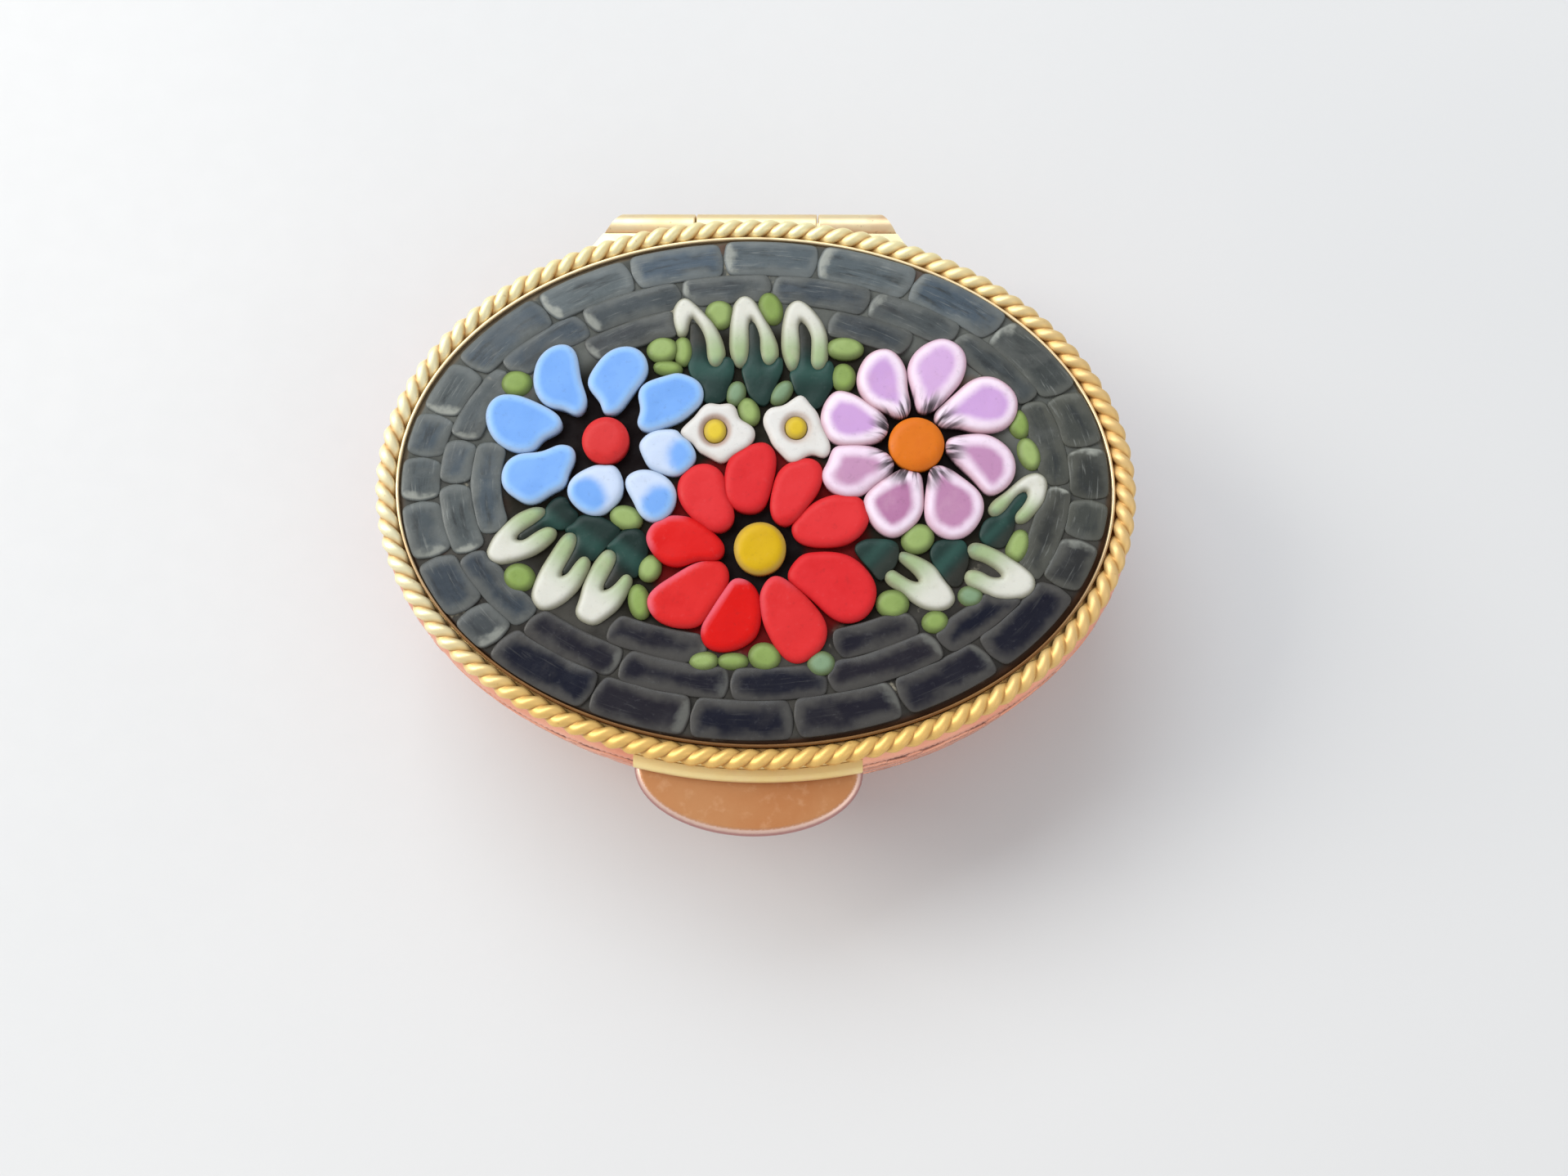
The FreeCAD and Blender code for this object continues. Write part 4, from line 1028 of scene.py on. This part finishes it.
def relief(u, v, perimeter, repeats, low, high, bead_rows):
    """Height of the stamped ornament, 0 on the ground and 1 on its ridges."""
    period = perimeter / repeats
    local = np.mod(u, period)
    field = np.zeros(u.shape)
    for points, width in scroll_lines(period, low, high):
        for shift in (-period, 0.0, period):
            dist = np.full(u.shape, 9.0)
            for px, py in points:
                dist = np.minimum(dist, np.hypot(local - px - shift, v - py))
            field = np.maximum(field, np.clip(1 - (dist / width) ** 2, 0, 1) ** 0.7)
    for level, radius in bead_rows:
        spacing = perimeter / round(perimeter / (2.3 * radius))
        along = np.mod(u, spacing) - spacing / 2
        dist = np.hypot(along, v - level)
        field = np.maximum(field, np.clip(1 - (dist / radius) ** 2, 0, 1) ** 0.5)
        for side in (-1, 1):
            edge = np.abs(v - level - side * radius * 1.7)
            field = np.maximum(field, 0.8 * np.clip(1 - (edge / (0.35 * radius)) ** 2, 0, 1))
    return field


def stamped_wall(name, node, body, outer, inner, repeats, low, high, bead_rows, depth):
    """Thin oval wall whose outer side carries the relief, closed all round."""
    steps = WALL_STEPS
    rows = int(round(sum(math.dist(a, b) for a, b in zip(outer, outer[1:])) / WALL_ROW))
    params, arc, perimeter = oval_arc(outer[0][1], steps)
    z_out, d_out = profile_points(outer, rows)
    u, v = np.meshgrid(arc, z_out)
    raised = relief(u[:, : steps // repeats + 1], v[:, : steps // repeats + 1], perimeter, repeats,
                    low, high, bead_rows)
    per = steps // repeats
    raised = np.tile(raised[:, :per], (1, repeats))
    plain = smoothstep(v, low - 0.5, low - 0.15) * (1 - smoothstep(v, high + 0.15, high + 0.5))
    ground = depth * (1 - raised) * plain
    sunk = d_out[:, None] - ground
    x, y = oval_point(sunk, params)
    verts = [np.column_stack([x.ravel(), y.ravel(), v.ravel()])]
    cavity = [(ground / depth).ravel()]
    z_in, d_in = profile_points(inner, 16)
    for z, d in zip(z_in[::-1], d_in[::-1]):
        px, py = oval_point(d, params)
        verts.append(np.column_stack([px, py, np.full(steps, z)]))
        cavity.append(np.zeros(steps))
    verts = np.vstack(verts)
    faces = wrapped_faces(rows + len(z_in), steps)
    obj = new_object(name, verts * MM, faces, wall_material(name + "_gilt"))
    set_attribute(obj, "cavity", np.concatenate(cavity))
    set_attribute(obj, "solder_highlight", by_the_tab(verts))
    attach(obj, body)
    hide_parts(node)


def by_the_tab(verts):
    """1 above the tab's ledge, where the tab is soldered on and a painted highlight is laid, and 0
    elsewhere.
    """
    x, y, z = verts.T
    return (y < 0) & (x > SOLDER_FROM) & (x < SOLDER_TO) & (z > LEDGE_FROM)


def walls():
    """Lid skirt and bowl; bead rows are (height, bead radius)."""
    stamped_wall("lid_skirt", "lid_wall", "lid", LID_OUTER, LID_INNER, SCROLL_REPEATS,
                 low=9.75, high=11.35, bead_rows=[(9.25, 0.19), (11.75, 0.15)], depth=0.16)
    stamped_wall("base_bowl", "base_wall", "base", BASE_OUTER, BASE_INNER, SCROLL_REPEATS,
                 low=3.4, high=7.3, bead_rows=[(8.1, 0.19), (2.7, 0.19)], depth=0.18)


# ---- kept CAD metal

def tab_material():
    """Coppery gilding on the plate, darkened as a painted reflection of dark surroundings, and paler gold
    on the ledge under the rope as a painted highlight.
    """
    n = Nodes("gilt_tab")
    patches = n.noise(140.0, 5.0, 0.6)
    # Plate colours: coppery gilding darkened as a painted reflection; ledge colours: a painted highlight
    # of the light the ledge catches.
    plate = n.mix(n.span(patches, 0.35, 0.7), (0.67, 0.31, 0.13), (0.57, 0.23, 0.085))
    ledge = n.mix(n.span(patches, 0.35, 0.7), (1.0, 0.80, 0.38), (0.98, 0.72, 0.29))
    above = n.span(n.axis("Z"), LEDGE_FROM * MM, (LEDGE_FROM + 0.12) * MM)
    color = n.mix(above, plate, ledge)
    grain = n.noise(1600.0, 3.0, 0.6)
    color = n.mix(n.span(grain, 0.5, 0.75, 0.0, 0.20), color, (0.95, 0.60, 0.36))
    facing = n.axis("Z", "Normal")
    below = n.span(above, 0.0, 1.0, 1.0, 0.0)
    # Painted highlight along the top of the plate's rounded edge.
    rim = n.math("MULTIPLY", n.span(facing, 0.93, 0.995, 1.0, 0.0), below)
    color = n.mix(n.math("MULTIPLY", rim, 0.8), color, (0.98, 0.72, 0.62))
    # Painted shade on the steeper faces of the plate's edge.
    side = n.math("MULTIPLY", n.span(facing, 0.55, 0.88, 1.0, 0.0), below)
    color = n.mix(side, color, (0.48, 0.24, 0.22))
    roughness = n.span(patches, 0.3, 0.75, 0.34, 0.46)
    normal = n.bump(grain, 0.2, 0.00003)
    # The ledge is made almost non-metallic so that its painted highlight shows evenly.
    n.link(n.span(above, 0.0, 1.0, 0.8, 0.12), n.shader.inputs["Metallic"])
    return n.done(color, roughness, normal)


def collar_material():
    """Pale gold towards the hinge as painted light, dark brown towards the tab as painted shade, with dull
    patches all round.
    """
    n = Nodes("gilt_collar")
    # Painted light and shade by position: pale towards the hinge, dark brown towards the tab.
    front = n.span(n.axis("Y"), -0.010, 0.002, 1.0, 0.0)
    color = n.mix(front, (0.98, 0.78, 0.48), (0.20, 0.095, 0.035))
    patches = n.noise(300.0, 4.0, 0.6)
    color = n.mix(n.span(patches, 0.5, 0.75, 0.0, 0.4), color, (0.36, 0.20, 0.07))
    roughness = n.span(patches, 0.3, 0.75, 0.38, 0.55)
    normal = n.bump(n.noise(900.0, 3.0, 0.6), 0.25, 0.00004)
    return n.done(color, roughness, normal, Metallic=0.85)


def metal():
    """Materials of the CAD pieces that stay as they are."""
    gilt = gilt_material("gilt_plain", (0.96, 0.67, 0.26), (0.90, 0.56, 0.18), 0.24)
    inside_gilt = gilt_material("gilt_inside", (0.90, 0.62, 0.25), (0.80, 0.50, 0.18), 0.28)
    # Paler copy of the gilding for the hinge leaves: painted light, where the light from behind falls.
    hinge_gilt = gilt_material("gilt_hinge", (0.92, 0.77, 0.49), (0.86, 0.67, 0.36), 0.40)
    table = {"base_floor": inside_gilt, "lid_plate": inside_gilt, "base_liner": gilt, "hinge_pin": gilt,
             "base_hinge_leaf": hinge_gilt, "lid_hinge_leaf": hinge_gilt,
             "thumb_tab": tab_material(), "bezel_collar": collar_material()}
    for node, material in table.items():
        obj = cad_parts[node]
        obj.data.materials.clear()
        obj.data.materials.append(material)


# ---- stage

LIGHT_TARGET = Vector((0, 0, 0.01))


def floor():
    """A plain sheet just under the box."""
    size, steps = 3.0, 8
    verts, faces = [], []
    for j in range(steps + 1):
        for i in range(steps + 1):
            verts.append(((i / steps - 0.5) * size, (j / steps - 0.5) * size, -0.00002))
    for j in range(steps):
        for i in range(steps):
            a = j * (steps + 1) + i
            faces.append((a, a + 1, a + steps + 2, a + steps + 1))
    obj = new_object("floor", verts, faces, floor_material())


def area_light(name, place, size, power, color):
    """A rectangular lamp that faces the box."""
    data = bpy.data.lights.new(name, "AREA")
    data.shape = "RECTANGLE"
    data.size, data.size_y = size
    data.energy = power
    data.color = color
    obj = bpy.data.objects.new(name, data)
    bpy.context.scene.collection.objects.link(obj)
    obj.location = place
    obj.rotation_euler = (LIGHT_TARGET - Vector(place)).to_track_quat("-Z", "Y").to_euler()


def lights():
    """A large pale panel behind the hinge, a warm one at the left and a weak fill."""
    area_light("panel", (-0.17, 0.33, 0.42), (0.44, 0.30), 1.50, (0.86, 0.94, 1.0))
    area_light("key", (-0.42, 0.12, 0.30), (0.24, 0.24), 1.35, (1.0, 0.97, 0.90))
    area_light("fill", (0.44, -0.34, 0.34), (0.40, 0.40), 0.40, (1.0, 0.95, 0.90))
    world = bpy.data.worlds.new("studio")
    bpy.context.scene.world = world
    world.use_nodes = True
    background = world.node_tree.nodes["Background"]
    background.inputs["Color"].default_value = (0.96, 0.97, 1.0, 1.0)
    background.inputs["Strength"].default_value = 0.62
    bpy.context.scene.view_settings.view_transform = "Standard"


def camera():
    """Phone camera close above the lid, tilted towards the thumb tab."""
    data = bpy.data.cameras.new("camera")
    data.sensor_width = 36.0
    data.lens = 27.05
    data.clip_start = 0.001
    data.clip_end = 10.0
    obj = bpy.data.objects.new("camera", data)
    bpy.context.scene.collection.objects.link(obj)
    tilt, side, roll = (math.radians(a) for a in (-13.75, -0.60, -0.25))
    turn = Euler((tilt, side, roll), "XYZ").to_matrix()
    obj.rotation_euler = turn.transposed().to_euler()
    obj.location = Vector((2.394, -21.688, 76.054)) * MM
    bpy.context.scene.camera = obj


field_glass()
flower_glass()
daisy_glass()
leaf_glass()
mastic_bed()
rope()
walls()
metal()
floor()
lights()
camera()
